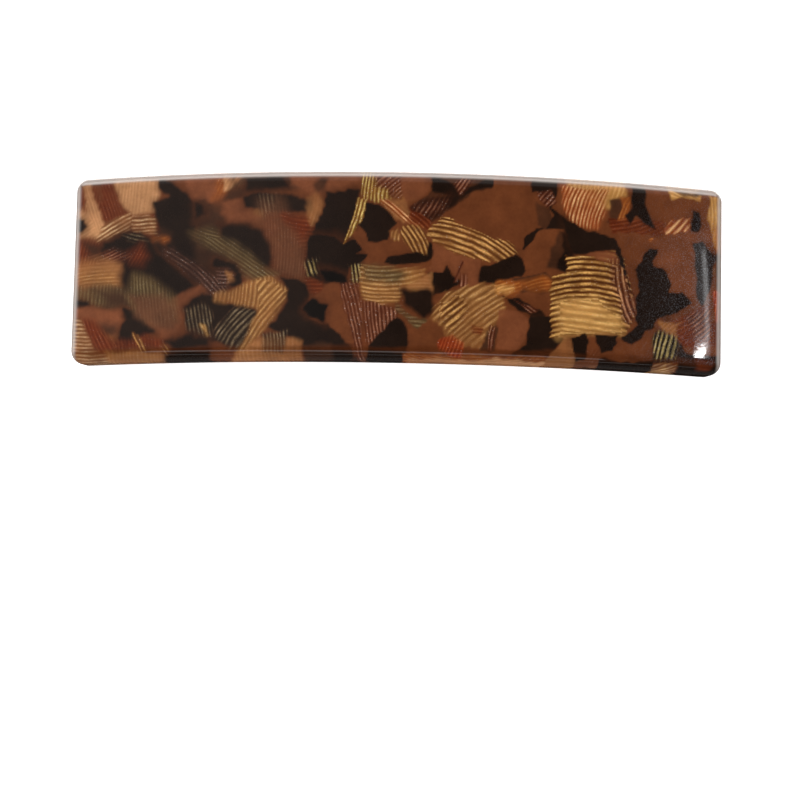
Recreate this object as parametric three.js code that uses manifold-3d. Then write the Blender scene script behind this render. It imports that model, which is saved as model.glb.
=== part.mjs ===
// Barrette: an arched acetate plate on a stamped-steel French clip.
//
// Units are millimetres. X runs along the plate and Y across it, and +Z points out of its
// front face. The origin is on the surface that the closed clip rests on, under the
// plate's middle. The hinge of the clip is at the -X end and its catch at the +X end.
import * as THREE from 'three';
import { mergeVertices } from 'three/addons/utils/BufferGeometryUtils.js';
import Module from 'manifold-3d';

const wasm = await Module();
wasm.setup();

// Plate: one slab of acetate, bent to a shallow arch.
const PLATE_LENGTH = 100; // along the arc of the front face
const PLATE_WIDTH = 28;
const PLATE_THICKNESS = 4;
const PLATE_FRONT_RADIUS = 125;
const PLATE_FRONT_EDGE = 2; // round-over of the front edges, and the corners in plan
const PLATE_BACK_EDGE = 0.4;
const CREST_Z = 18; // top of the arch above the rest surface
const ARCH_Z = CREST_Z - PLATE_FRONT_RADIUS; // centre of the plate's and the bar's arcs

// Stamped sheet metal and the gaps between its pieces.
const SHEET = 0.8;
const SPRING_SHEET = 0.45;
const CATCH_SHEET = 0.6;
const SEAT_GAP = 0.2;
const SIDE_GAP = 0.3;
const RUNNING_GAP = 0.1;

// Base bar, which lies along the back of the plate.
const BAR_OUTER_RADIUS = PLATE_FRONT_RADIUS - PLATE_THICKNESS - SEAT_GAP;
const BAR_INNER_RADIUS = BAR_OUTER_RADIUS - SHEET;
const BAR_WIDTH = 9;
const BAR_END_X = 39.5;
const BAR_CORNER = 1.5;
const SEWING_HOLE_RADIUS = 1.2;
const SEWING_HOLE_X = 11;

// Hinge: a pin through two ears of the bar.
const PIN_X = -38;
const PIN_Z = 2.8;
const PIN_RADIUS = 0.75;
const PIN_HEAD_RADIUS = 1.35;
const PIN_HEAD_HEIGHT = 0.6;
const PIN_HOLE_RADIUS = PIN_RADIUS + RUNNING_GAP;
const PIN_HEAD_DOME = [[0.7, 0.8], [1, 0.3]]; // shares of the head's radius and height
const EAR_RADIUS = 3; // the rest surface cuts this circle, so the ear stands on a flat

// Clasp arm, which swings down from the hinge and latches on the catch.
const ARM_CREST_Z = 4.9; // top of the arm's arch
const ARM_RADIUS = 400;
const ARM_WIDTH = BAR_WIDTH - 2 * SHEET - 2 * SIDE_GAP;
const ARM_CORNER = 0.5;
const ARM_KNUCKLE_RADIUS = PIN_HOLE_RADIUS + SHEET;
const ARM_NOTCH_LENGTH = 2.4; // clears the spring's eye, from the pin's axis on
const ARM_SLOT_WIDTH = 2.6;
const ARM_SLOT_CORNER = 1.25;
const ARM_SLOT_X = [-27, 25];
const ARM_HEAD_X = [29.4, 40.8];
const ARM_HEAD_WIDTH = 10;
const ARM_HEAD_CORNER = 2.2;
const ARM_WINDOW_X = [31, 38];
const ARM_WINDOW_WIDTH = 6.1;
const ARM_WINDOW_CORNER = 0.6;

// Tension spring, a bowed blade between the bar and the arm.
const EYE_RADIUS = PIN_HOLE_RADIUS + SPRING_SHEET;
const EYE_WIDTH = 2.6;
const EYE_CORNER = 0.4;
const NECK_X = [PIN_X + 3.4, PIN_X + 6]; // where the eye's strip and the blade overlap
const BLADE_WIDTH = 3.8;
const BLADE_CORNER = 1.2;
const BLADE_CREST_Z = 10.55;
const BLADE_RADIUS = 115.2; // meets the top of the eye
const BLADE_END_X = 27.5;
// The turned-up foot in side view, from where the blade's outer face ends: X and Z.
const BLADE_FOOT = [
  [-0.6, 0.05],
  [-0.5, 0.15 - SPRING_SHEET],
  [0.2, -SPRING_SHEET],
  [2.2, 1.2],
  [1.9, 1.55],
];
const BLADE_FOOT_MARGIN = 4; // the plan reaches past the foot by the corner radius

// Catch: a spring-steel strap bent into a web and two pinch legs.
const CATCH_X = 34.5;
const LEG_LENGTH = 5.4; // along X
const LEG_INNER_Y = 2.2;
const LEG_OUTER_Y = LEG_INNER_Y + CATCH_SHEET;
const BARB_OUTER_Y = 3.5;
const BARB_TOP_Z = 2.4;
const BARB_HEIGHT = 0.5; // of the barb's upright face
const LEG_TIP_Y = 2.9;
const LEG_TIP_ROUND = 1.6;

// Rivets.
const RIVET_RADIUS = 1;
const RIVET_HOLE_RADIUS = 1.15;
const RIVET_HEAD_RADIUS = 1.9;
const RIVET_HEAD_HEIGHT = 0.75;
const RIVET_HEAD_DOME = [[0.62, 0.8], [1, 0.2]]; // shares of the head's radius and height
const FIXING_ARC = 22; // arc distance of each fixing pin from the plate's middle
const FIXING_DEPTH = 2.4; // into the plate's back

const CUT_MARGIN = 1; // how far a cutting body reaches past the piece it cuts
const FULL_TURN = 2 * Math.PI;
const QUARTER_TURN = Math.PI / 2;
const ALONG_X = new THREE.Vector3(1, 0, 0);
const ALONG_Y = new THREE.Vector3(0, 1, 0);
const ALONG_Z = new THREE.Vector3(0, 0, 1);

// Height of an arc of this radius, centred under the middle, at a place along X.
function arcHeight(radius, centreZ, x) {
  return centreZ + Math.sqrt(radius * radius - x * x);
}

// A closed geometry as a solid. Slivers that vanish when the vertices merge are left out.
function toSolid(geometry) {
  const bare = geometry.clone();
  bare.deleteAttribute('normal');
  bare.deleteAttribute('uv');
  const merged = mergeVertices(bare);
  const vertProperties = new Float32Array(merged.attributes.position.array);
  const corners = merged.index.array;
  const kept = [];
  for (let start = 0; start < corners.length; start += 3) {
    const [a, b, c] = corners.slice(start, start + 3);
    if (a !== b && b !== c && c !== a) {
      kept.push(a, b, c);
    }
  }
  const triVerts = new Uint32Array(kept);
  return new wasm.Manifold(new wasm.Mesh({ numProp: 3, vertProperties, triVerts }));
}

function toGeometry(solid) {
  const mesh = solid.getMesh();
  const geometry = new THREE.BufferGeometry();
  geometry.setAttribute('position', new THREE.BufferAttribute(mesh.vertProperties, 3));
  geometry.setIndex(new THREE.BufferAttribute(mesh.triVerts, 1));
  geometry.computeVertexNormals();
  return geometry;
}

// Extrusion of an outline, centred on the outline's own plane.
function extrusion(shape, depth, curveSegments) {
  const geometry = new THREE.ExtrudeGeometry(shape, { depth, curveSegments, bevelEnabled: false });
  geometry.translate(0, 0, -depth / 2);
  return geometry;
}

// A solid from an outline in X and Z, with the given width across Y.
function sideSolid(shape, width, curveSegments = 10) {
  const turn = new THREE.Matrix4().makeBasis(ALONG_X, ALONG_Z, ALONG_Y.clone().negate());
  return toSolid(extrusion(shape, width, curveSegments).applyMatrix4(turn));
}

// A solid from an outline in X and Y, tall enough to reach through any sheet of the clip.
function planSolid(shape, curveSegments = 5) {
  return toSolid(extrusion(shape, 4 * CREST_Z, curveSegments));
}

// A solid from an outline in Y and Z, with the given length along X.
function endSolid(shape, length, curveSegments = 4) {
  const turn = new THREE.Matrix4().makeBasis(ALONG_Y, ALONG_Z, ALONG_X);
  return toSolid(extrusion(shape, length, curveSegments).applyMatrix4(turn));
}

// A band of sheet that follows an arc: its outline in X and Z.
function arcBand(outerRadius, thickness, centreZ, fromX, toX) {
  const innerRadius = outerRadius - thickness;
  const middle = outerRadius - thickness / 2;
  const fromAngle = Math.acos(fromX / middle);
  const toAngle = Math.acos(toX / middle);
  const shape = new THREE.Shape();
  shape.absarc(0, centreZ, outerRadius, fromAngle, toAngle, true);
  shape.absarc(0, centreZ, innerRadius, toAngle, fromAngle, false);
  shape.closePath();
  return shape;
}

function ring(x, z, outerRadius, innerRadius) {
  const shape = new THREE.Shape().absarc(x, z, outerRadius, 0, FULL_TURN);
  shape.holes.push(new THREE.Path().absarc(x, z, innerRadius, 0, FULL_TURN, true));
  return shape;
}

function roundedRectangle(fromX, toX, width, radius) {
  const half = width / 2;
  const shape = new THREE.Shape();
  shape.absarc(toX - radius, half - radius, radius, 0, QUARTER_TURN);
  shape.absarc(fromX + radius, half - radius, radius, QUARTER_TURN, Math.PI);
  shape.absarc(fromX + radius, radius - half, radius, Math.PI, 3 * QUARTER_TURN);
  shape.absarc(toX - radius, radius - half, radius, 3 * QUARTER_TURN, FULL_TURN);
  shape.closePath();
  return shape;
}

// A turned solid whose axis leaves the centre of the plate's arcs at an arc distance from
// the middle. The profile gives radius and distance from that centre.
function radialTurned(profile, arcDistance, sides = 20) {
  const points = profile.map(([radius, distance]) => new THREE.Vector2(radius, distance));
  const geometry = new THREE.LatheGeometry(points, sides);
  geometry.rotateX(QUARTER_TURN);
  geometry.rotateY(arcDistance / PLATE_FRONT_RADIUS);
  geometry.translate(0, 0, ARCH_Z);
  return toSolid(geometry);
}

// Moves a point of a square zone, measured from the zone's inner corner, onto circles.
function squareToRound(a, b) {
  const scale = Math.max(a, b) / Math.hypot(a, b);
  return [a * scale, b * scale];
}

// Places of the grid lines across a rounded zone, so that they share its arc equally.
function zoneLine(step, steps, radius) {
  return radius * Math.tan((Math.PI / 4) * (step / steps));
}

// Grid lines from -half to half: rounded zones at both ends and equal steps between them.
function gridLines(half, radius, zoneSteps, flatSteps) {
  const flatHalf = half - radius;
  const lines = [];
  for (let step = zoneSteps; step > 0; step -= 1) {
    lines.push(-flatHalf - zoneLine(step, zoneSteps, radius));
  }
  for (let step = 0; step <= flatSteps; step += 1) {
    lines.push(flatHalf * ((2 * step) / flatSteps - 1));
  }
  for (let step = 1; step <= zoneSteps; step += 1) {
    lines.push(flatHalf + zoneLine(step, zoneSteps, radius));
  }
  return lines;
}

// The plate is a grid box whose edges are rounded, and which is then bent to the arch.
function facePlateSlab() {
  const zoneSteps = 3;
  const archFacets = 25; // odd, so one facet lies level at the crest
  const widthFacets = 3;
  const radius = PLATE_FRONT_EDGE;
  const flatTop = PLATE_THICKNESS - radius;
  const halfLength = PLATE_LENGTH / 2;
  const halfWidth = PLATE_WIDTH / 2;
  const lengthLines = gridLines(halfLength, radius, zoneSteps, archFacets);
  const widthLines = gridLines(halfWidth, radius, zoneSteps, widthFacets);
  const heightLines = [0, PLATE_BACK_EDGE, flatTop];
  for (let step = 1; step <= zoneSteps; step += 1) {
    heightLines.push(flatTop + zoneLine(step, zoneSteps, radius));
  }
  const steps = [lengthLines.length - 1, widthLines.length - 1, heightLines.length - 1];
  const geometry = new THREE.BoxGeometry(1, 1, 1, ...steps);
  const position = geometry.attributes.position;
  for (let index = 0; index < position.count; index += 1) {
    const along = lengthLines[Math.round((position.getX(index) + 0.5) * steps[0])];
    const across = widthLines[Math.round((position.getY(index) + 0.5) * steps[1])];
    let height = heightLines[Math.round((position.getZ(index) + 0.5) * steps[2])];
    let zoneX = Math.abs(along) - (halfLength - radius);
    let zoneY = Math.abs(across) - (halfWidth - radius);
    const reach = Math.max(zoneX, zoneY);
    if (reach > 0) {
      let roundReach = reach;
      const backReach = reach - (radius - PLATE_BACK_EDGE);
      if (height > flatTop) {
        const [outward, upward] = squareToRound(reach, height - flatTop);
        roundReach = outward;
        height = flatTop + upward;
      } else if (height < PLATE_BACK_EDGE && backReach > 0) {
        const [outward, downward] = squareToRound(backReach, PLATE_BACK_EDGE - height);
        roundReach = radius - PLATE_BACK_EDGE + outward;
        height = PLATE_BACK_EDGE - downward;
      }
      if (zoneX > 0 && zoneY > 0) {
        const scale = roundReach / Math.hypot(zoneX, zoneY);
        zoneX *= scale;
        zoneY *= scale;
      } else if (zoneX > 0) {
        zoneX = roundReach;
      } else {
        zoneY = roundReach;
      }
    }
    const arcX = Math.sign(along) * (halfLength - radius + zoneX);
    const y = Math.sign(across) * (halfWidth - radius + zoneY);
    const angle = arcX / PLATE_FRONT_RADIUS;
    const rho = PLATE_FRONT_RADIUS - PLATE_THICKNESS + height;
    position.setXYZ(index, rho * Math.sin(angle), y, ARCH_Z + rho * Math.cos(angle));
  }
  return toSolid(geometry);
}

// A bore for a rivet, between two distances from the centre of the plate's arcs.
function rivetBore(fromDistance, toDistance, arcDistance) {
  const profile = [
    [0, fromDistance],
    [RIVET_HOLE_RADIUS, fromDistance],
    [RIVET_HOLE_RADIUS, toDistance],
    [0, toDistance],
  ];
  return radialTurned(profile, arcDistance);
}

// Two blind holes in the back take the fixing pins.
function facePlate() {
  const back = PLATE_FRONT_RADIUS - PLATE_THICKNESS;
  let solid = facePlateSlab();
  for (const side of [-1, 1]) {
    const hole = rivetBore(back - CUT_MARGIN, back + FIXING_DEPTH, side * FIXING_ARC);
    solid = solid.subtract(hole);
  }
  return solid;
}

// One hinge ear: it hangs from the middle of the bar's sheet, round the pin.
function earOutline() {
  const middle = BAR_INNER_RADIUS + SHEET / 2;
  const flatHalf = Math.sqrt(EAR_RADIUS ** 2 - PIN_Z ** 2);
  const flatAngle = Math.atan2(PIN_Z, flatHalf);
  const fromAngle = Math.acos((PIN_X - EAR_RADIUS) / middle);
  const toAngle = Math.acos((PIN_X + EAR_RADIUS) / middle);
  const shape = new THREE.Shape();
  shape.absarc(PIN_X, PIN_Z, EAR_RADIUS, -Math.PI, flatAngle - Math.PI);
  shape.absarc(PIN_X, PIN_Z, EAR_RADIUS, -flatAngle, 0);
  shape.absarc(0, ARCH_Z, middle, toAngle, fromAngle);
  shape.closePath();
  shape.holes.push(new THREE.Path().absarc(PIN_X, PIN_Z, PIN_HOLE_RADIUS, 0, FULL_TURN, true));
  return shape;
}

function baseBar() {
  const barStart = PIN_X - EAR_RADIUS;
  const fromX = barStart - CUT_MARGIN;
  const toX = BAR_END_X + CUT_MARGIN;
  const band = arcBand(BAR_OUTER_RADIUS, SHEET, ARCH_Z, fromX, toX);
  const plan = roundedRectangle(barStart, BAR_END_X, BAR_WIDTH, BAR_CORNER);
  for (const x of [-SEWING_HOLE_X, SEWING_HOLE_X]) {
    plan.holes.push(new THREE.Path().absarc(x, 0, SEWING_HOLE_RADIUS, 0, FULL_TURN, true));
  }
  let solid = sideSolid(band, BAR_WIDTH, 12).intersect(planSolid(plan));
  const ear = sideSolid(earOutline(), SHEET, 8);
  for (const side of [-1, 1]) {
    solid = solid.add(ear.translate([0, (side * (BAR_WIDTH - SHEET)) / 2, 0]));
  }
  const boreStart = BAR_INNER_RADIUS - CUT_MARGIN;
  const boreEnd = BAR_OUTER_RADIUS + CUT_MARGIN;
  for (const arcDistance of [-FIXING_ARC, FIXING_ARC, catchArc()]) {
    solid = solid.subtract(rivetBore(boreStart, boreEnd, arcDistance));
  }
  return solid;
}

// Arc distance of the catch from the plate's middle.
function catchArc() {
  return PLATE_FRONT_RADIUS * Math.asin(CATCH_X / BAR_INNER_RADIUS);
}

// A pin through both ears, peened over at each end.
function hingePin() {
  const halfSpan = BAR_WIDTH / 2 + RUNNING_GAP;
  const outline = [[0, -halfSpan - PIN_HEAD_HEIGHT]];
  for (const [radiusShare, heightShare] of PIN_HEAD_DOME) {
    const y = -halfSpan - PIN_HEAD_HEIGHT * heightShare;
    outline.push([PIN_HEAD_RADIUS * radiusShare, y]);
  }
  outline.push([PIN_HEAD_RADIUS, -halfSpan]);
  outline.push([PIN_RADIUS, -halfSpan]);
  const mirrored = outline.map(([radius, y]) => [radius, -y]).reverse();
  const points = outline.concat(mirrored).map(([radius, y]) => new THREE.Vector2(radius, y));
  return toSolid(new THREE.LatheGeometry(points, 20)).translate([PIN_X, 0, PIN_Z]);
}

// The arm: knuckles round the pin, a slotted strap, and a head with the catch's window.
function claspArm() {
  const centreZ = ARM_CREST_Z - ARM_RADIUS;
  const strapStart = PIN_X + PIN_HOLE_RADIUS + RUNNING_GAP;
  const strapEnd = ARM_HEAD_X[1] + CUT_MARGIN;
  const strap = arcBand(ARM_RADIUS, SHEET, centreZ, strapStart, strapEnd);
  const knuckle = ring(PIN_X, PIN_Z, ARM_KNUCKLE_RADIUS, PIN_HOLE_RADIUS);
  const side = sideSolid(strap, ARM_HEAD_WIDTH).add(sideSolid(knuckle, ARM_WIDTH));

  const armStart = PIN_X - EAR_RADIUS;
  const neckEnd = ARM_HEAD_X[1] - ARM_HEAD_CORNER;
  const strapPlan = roundedRectangle(armStart, neckEnd, ARM_WIDTH, ARM_CORNER);
  const headPlan = roundedRectangle(...ARM_HEAD_X, ARM_HEAD_WIDTH, ARM_HEAD_CORNER);
  const plan = planSolid(strapPlan).add(planSolid(headPlan));
  const slot = roundedRectangle(...ARM_SLOT_X, ARM_SLOT_WIDTH, ARM_SLOT_CORNER);
  const window = roundedRectangle(...ARM_WINDOW_X, ARM_WINDOW_WIDTH, ARM_WINDOW_CORNER);
  const notchWidth = EYE_WIDTH + 2 * SIDE_GAP;
  const notchStart = armStart - CUT_MARGIN;
  const notchEnd = PIN_X + ARM_NOTCH_LENGTH;
  const eyeNotch = roundedRectangle(notchStart, notchEnd, notchWidth, ARM_CORNER);
  return side.intersect(plan)
    .subtract(planSolid(slot))
    .subtract(planSolid(window))
    .subtract(planSolid(eyeNotch));
}

// The spring: an eye on the pin, a bowed blade, and a foot that bears on the bar.
function tensionSpring() {
  const centreZ = BLADE_CREST_Z - BLADE_RADIUS;
  const eye = ring(PIN_X, PIN_Z, EYE_RADIUS, PIN_HOLE_RADIUS);
  const blade = arcBand(BLADE_RADIUS, SPRING_SHEET, centreZ, PIN_X, BLADE_END_X);
  const footZ = arcHeight(BLADE_RADIUS, centreZ, BLADE_END_X);
  const footPoints = BLADE_FOOT.map(([x, z]) => new THREE.Vector2(BLADE_END_X + x, footZ + z));
  const foot = new THREE.Shape(footPoints);
  const eyePlan = roundedRectangle(PIN_X - EAR_RADIUS, NECK_X[1], EYE_WIDTH, EYE_CORNER);
  const planEnd = BLADE_END_X + BLADE_FOOT_MARGIN;
  const bladePlan = roundedRectangle(NECK_X[0], planEnd, BLADE_WIDTH, BLADE_CORNER);
  return sideSolid(blade, BLADE_WIDTH)
    .add(sideSolid(eye, BLADE_WIDTH))
    .add(sideSolid(foot, BLADE_WIDTH))
    .intersect(planSolid(eyePlan).add(planSolid(bladePlan)));
}

// The web of the catch lies under the bar and is riveted to it.
function catchWeb() {
  const outerRadius = BAR_INNER_RADIUS - SEAT_GAP;
  const fromX = CATCH_X - LEG_LENGTH / 2;
  const band = arcBand(outerRadius, CATCH_SHEET, ARCH_Z, fromX, fromX + LEG_LENGTH);
  const boreStart = outerRadius - CATCH_SHEET - CUT_MARGIN;
  const bore = rivetBore(boreStart, outerRadius + CUT_MARGIN, catchArc());
  return sideSolid(band, 2 * (LEG_INNER_Y - SEAT_GAP), 2).subtract(bore);
}

// A pinch leg on the +Y side: it drops through the arm's window, holds the rail of the
// window on its barb, and ends in a rounded finger tab.
function catchLeg() {
  const topZ = arcHeight(BAR_INNER_RADIUS, ARCH_Z, CATCH_X - LEG_LENGTH / 2);
  const section = new THREE.Shape();
  section.moveTo(LEG_INNER_Y, topZ);
  section.lineTo(LEG_INNER_Y, 0);
  section.lineTo(LEG_TIP_Y, 0);
  section.lineTo(BARB_OUTER_Y, BARB_TOP_Z - BARB_HEIGHT);
  section.lineTo(BARB_OUTER_Y, BARB_TOP_Z);
  section.lineTo(LEG_OUTER_Y, BARB_TOP_Z);
  section.lineTo(LEG_OUTER_Y, topZ);
  section.closePath();
  const tipRound = LEG_TIP_ROUND;
  const fromX = CATCH_X - LEG_LENGTH / 2;
  const toX = fromX + LEG_LENGTH;
  const outline = new THREE.Shape();
  outline.moveTo(toX, arcHeight(BAR_INNER_RADIUS, ARCH_Z, toX) - SIDE_GAP);
  outline.lineTo(fromX, arcHeight(BAR_INNER_RADIUS, ARCH_Z, fromX) - SIDE_GAP);
  outline.absarc(fromX + tipRound, tipRound, tipRound, Math.PI, 3 * QUARTER_TURN);
  outline.absarc(toX - tipRound, tipRound, tipRound, 3 * QUARTER_TURN, FULL_TURN);
  outline.closePath();
  return endSolid(section, LEG_LENGTH)
    .translate([CATCH_X, 0, 0])
    .intersect(sideSolid(outline, 2 * PLATE_WIDTH, 4));
}

// A rivet whose domed head lies on the inner side of the sheet it holds.
function rivet(arcDistance, headDistance, tipDistance) {
  const dome = RIVET_HEAD_DOME.map(([radiusShare, heightShare]) => [
    RIVET_HEAD_RADIUS * radiusShare,
    headDistance - RIVET_HEAD_HEIGHT * heightShare,
  ]);
  const profile = [
    [0, headDistance - RIVET_HEAD_HEIGHT],
    ...dome,
    [RIVET_HEAD_RADIUS, headDistance],
    [RIVET_RADIUS, headDistance],
    [RIVET_RADIUS, tipDistance],
    [0, tipDistance],
  ];
  return radialTurned(profile, arcDistance);
}

function fixingPin(side) {
  const headDistance = BAR_INNER_RADIUS - RUNNING_GAP;
  const tipDistance = PLATE_FRONT_RADIUS - PLATE_THICKNESS + FIXING_DEPTH - SEAT_GAP;
  return rivet(side * FIXING_ARC, headDistance, tipDistance);
}

function catchRivet() {
  const webInner = BAR_INNER_RADIUS - SEAT_GAP - CATCH_SHEET;
  return rivet(catchArc(), webInner - RUNNING_GAP, BAR_OUTER_RADIUS);
}

const acetate = { color: 0x6b4028, roughness: 0.15, metalness: 0 };
const plated = { color: 0xb9bbbd, roughness: 0.3, metalness: 1 };
const springSteel = { color: 0x9a9da1, roughness: 0.35, metalness: 1 };

const pieces = [
  ['face_plate', facePlate(), acetate],
  ['base_bar', baseBar(), plated],
  ['fixing_pin_hinge_end', fixingPin(-1), plated],
  ['fixing_pin_catch_end', fixingPin(1), plated],
  ['hinge_pin', hingePin(), plated],
  ['clasp_arm', claspArm(), plated],
  ['tension_spring', tensionSpring(), springSteel],
  ['catch_web', catchWeb(), springSteel],
  ['catch_leg_left', catchLeg(), springSteel],
  ['catch_leg_right', catchLeg().mirror([0, 1, 0]), springSteel],
  ['catch_rivet', catchRivet(), plated],
];

const group = new THREE.Group();
for (const [name, solid, finish] of pieces) {
  const mesh = new THREE.Mesh(toGeometry(solid), new THREE.MeshStandardMaterial(finish));
  mesh.name = name;
  group.add(mesh);
}

export default group;
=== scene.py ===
import math

import bpy
import numpy as np
from mathutils import Matrix, Vector


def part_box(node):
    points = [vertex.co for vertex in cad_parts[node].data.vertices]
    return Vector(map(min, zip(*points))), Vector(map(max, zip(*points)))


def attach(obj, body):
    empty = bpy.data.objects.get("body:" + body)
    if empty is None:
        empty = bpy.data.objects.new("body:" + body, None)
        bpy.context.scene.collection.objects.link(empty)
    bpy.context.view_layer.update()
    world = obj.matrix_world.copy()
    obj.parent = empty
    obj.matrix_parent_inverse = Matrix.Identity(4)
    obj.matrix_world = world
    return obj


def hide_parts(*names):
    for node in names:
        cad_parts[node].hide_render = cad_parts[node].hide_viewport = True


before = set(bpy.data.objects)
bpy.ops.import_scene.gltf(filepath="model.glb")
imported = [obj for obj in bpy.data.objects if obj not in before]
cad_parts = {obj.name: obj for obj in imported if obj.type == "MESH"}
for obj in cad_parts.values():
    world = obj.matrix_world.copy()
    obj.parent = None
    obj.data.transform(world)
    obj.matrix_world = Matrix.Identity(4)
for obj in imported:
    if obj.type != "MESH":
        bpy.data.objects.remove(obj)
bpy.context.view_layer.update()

MM = 0.001
PLATE_LOW, PLATE_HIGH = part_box("face_plate")

# The plate, as the CAD model has it.
HALF_LENGTH = 50.0  # along the arc of the front face
HALF_WIDTH = (PLATE_HIGH.y - PLATE_LOW.y) / 2 / MM
THICKNESS = 4.0
FRONT_RADIUS = 125.0
CREST = 18.0
ARCH_CENTRE = CREST - FRONT_RADIUS

# Its edge: a quarter round at the front, an upright wall, a small round at the back.
CORNER = 2.0
WALL_TOP = THICKNESS - CORNER
BACK_EDGE = 0.4

SEED = 11


# ---------------------------------------------------------------- camera and light

# The lens, the camera's place and its axes are from a fit of the plate's outline to the
# photograph, with the arch and its size as above.
LENS = 124.45
SENSOR = 36
CAMERA_PLACE = Vector((0.01013, -0.07129, CREST * MM + 0.39396))
CAMERA_RIGHT = Vector((0.9996, 0.0215, -0.0201))
CAMERA_BACK = Vector((0.0227, -0.1294, 0.9913))

MIDDLE = (0, 0, 0)
CLIP_MIDDLE = (0, 0, 0.02)
CATCH_END = (0.045, -0.004, 0.0098)


def add_camera():
    camera = bpy.data.cameras.new("camera")
    camera.lens = LENS
    camera.sensor_width = SENSOR
    camera.clip_start = 0.01
    right = CAMERA_RIGHT.normalized()
    back = CAMERA_BACK.normalized()
    up = back.cross(right).normalized()
    right = up.cross(back)
    holder = bpy.data.objects.new("camera", camera)
    rotation = Matrix((right, up, back)).transposed().to_4x4()
    holder.matrix_world = Matrix.Translation(CAMERA_PLACE) @ rotation
    bpy.context.scene.collection.objects.link(holder)
    bpy.context.scene.camera = holder


def add_softbox(name, place, target, size, power, glossy=True, diffuse=True):
    light = bpy.data.lights.new(name, "AREA")
    light.shape = "RECTANGLE"
    light.size, light.size_y = size
    light.energy = power
    holder = bpy.data.objects.new(name, light)
    direction = Vector(target) - Vector(place)
    holder.rotation_euler = direction.to_track_quat("-Z", "Y").to_euler()
    holder.location = place
    holder.visible_glossy = glossy
    holder.visible_diffuse = diffuse
    bpy.context.scene.collection.objects.link(holder)


def add_sky():
    """A studio that is white behind the barrette and past its ends, and dark in front."""
    world = bpy.data.worlds.new("studio")
    world.use_nodes = True
    n = Nodes(world)
    n.tree.nodes.clear()
    direction = n.add("ShaderNodeTexCoord").outputs["Generated"]
    toward = n.add("ShaderNodeSeparateXYZ", {0: direction})
    x, y, z = toward.outputs

    # Behind, and most of all low down there.
    behind = n.smooth(y, 0.2, 0.5, 0.0, 0.5)
    low = n.smooth(z, -0.4, -0.62, 0.0, 3.4)
    behind = n.math("MULTIPLY_ADD", low, n.smooth(y, 0.2, 0.5), behind)

    # Past the ends, and a broad soft glow at the hinge end, both fading to the front.
    hinge_end = n.smooth(x, -0.8, -0.97, 0.0, 2.0)
    catch_end = n.smooth(x, 0.88, 0.99, 0.0, 2.0)
    glow = n.smooth(x, 0.12, -0.45, 0.01, 0.27)
    ends = n.highest(hinge_end, catch_end, glow)
    ends = n.product(ends, n.smooth(y, -0.02, -0.3, 1.0, 0.1))

    # A little light from under the horizon, for the back and the clip.
    under = n.product(n.smooth(z, 0.05, -0.25, 0.0, 0.14), n.smooth(z, -0.95, -0.75))

    background = n.add("ShaderNodeBackground", {"Strength": n.highest(ends, under, behind)})
    output = n.add("ShaderNodeOutputWorld")
    n.tree.links.new(background.outputs[0], output.inputs["Surface"])
    bpy.context.scene.world = world


def add_lights():
    add_sky()

    # Broad light that the gloss doesn't mirror.
    fill = dict(glossy=False)
    add_softbox("softbox_back", (-0.15, 0.55, 0.72), MIDDLE, (1.3, 0.7), 7.2, **fill)
    add_softbox("softbox_front", (-0.1, -0.75, 0.75), MIDDLE, (1.4, 0.6), 2.4, **fill)

    # The white highlight at the catch end, the streak above it and the haze round them.
    add_softbox("softbox_right", (0.478, 0.078, 0.414), CATCH_END, (0.0022, 0.018), 0.0125)
    add_softbox("streak_right", (0.484, 0.0955, 0.4054), CATCH_END, (0.037, 0.008), 0.0032)
    add_softbox("haze_right", (0.478, 0.098, 0.412), CATCH_END, (0.044, 0.026), 0.0018)

    # A panel and two strips, which the plate's rounded edges mirror.
    add_softbox("panel_back", (0.0, 0.95, 0.21), CLIP_MIDDLE, (2.6, 0.4), 9, diffuse=False)
    add_softbox("strip_front", (-0.1, -0.72, 0.78), MIDDLE, (1.4, 0.2), 1.3)
    add_softbox("strip_low", (0.0, -0.95, 0.30), MIDDLE, (1.4, 0.06), 0.35)
    bpy.context.scene.view_settings.view_transform = "Standard"


# ---------------------------------------------------------------- node helpers

def new_material(name):
    material = bpy.data.materials.new(name)
    material.use_nodes = True
    material.node_tree.nodes.clear()
    return material


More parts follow.
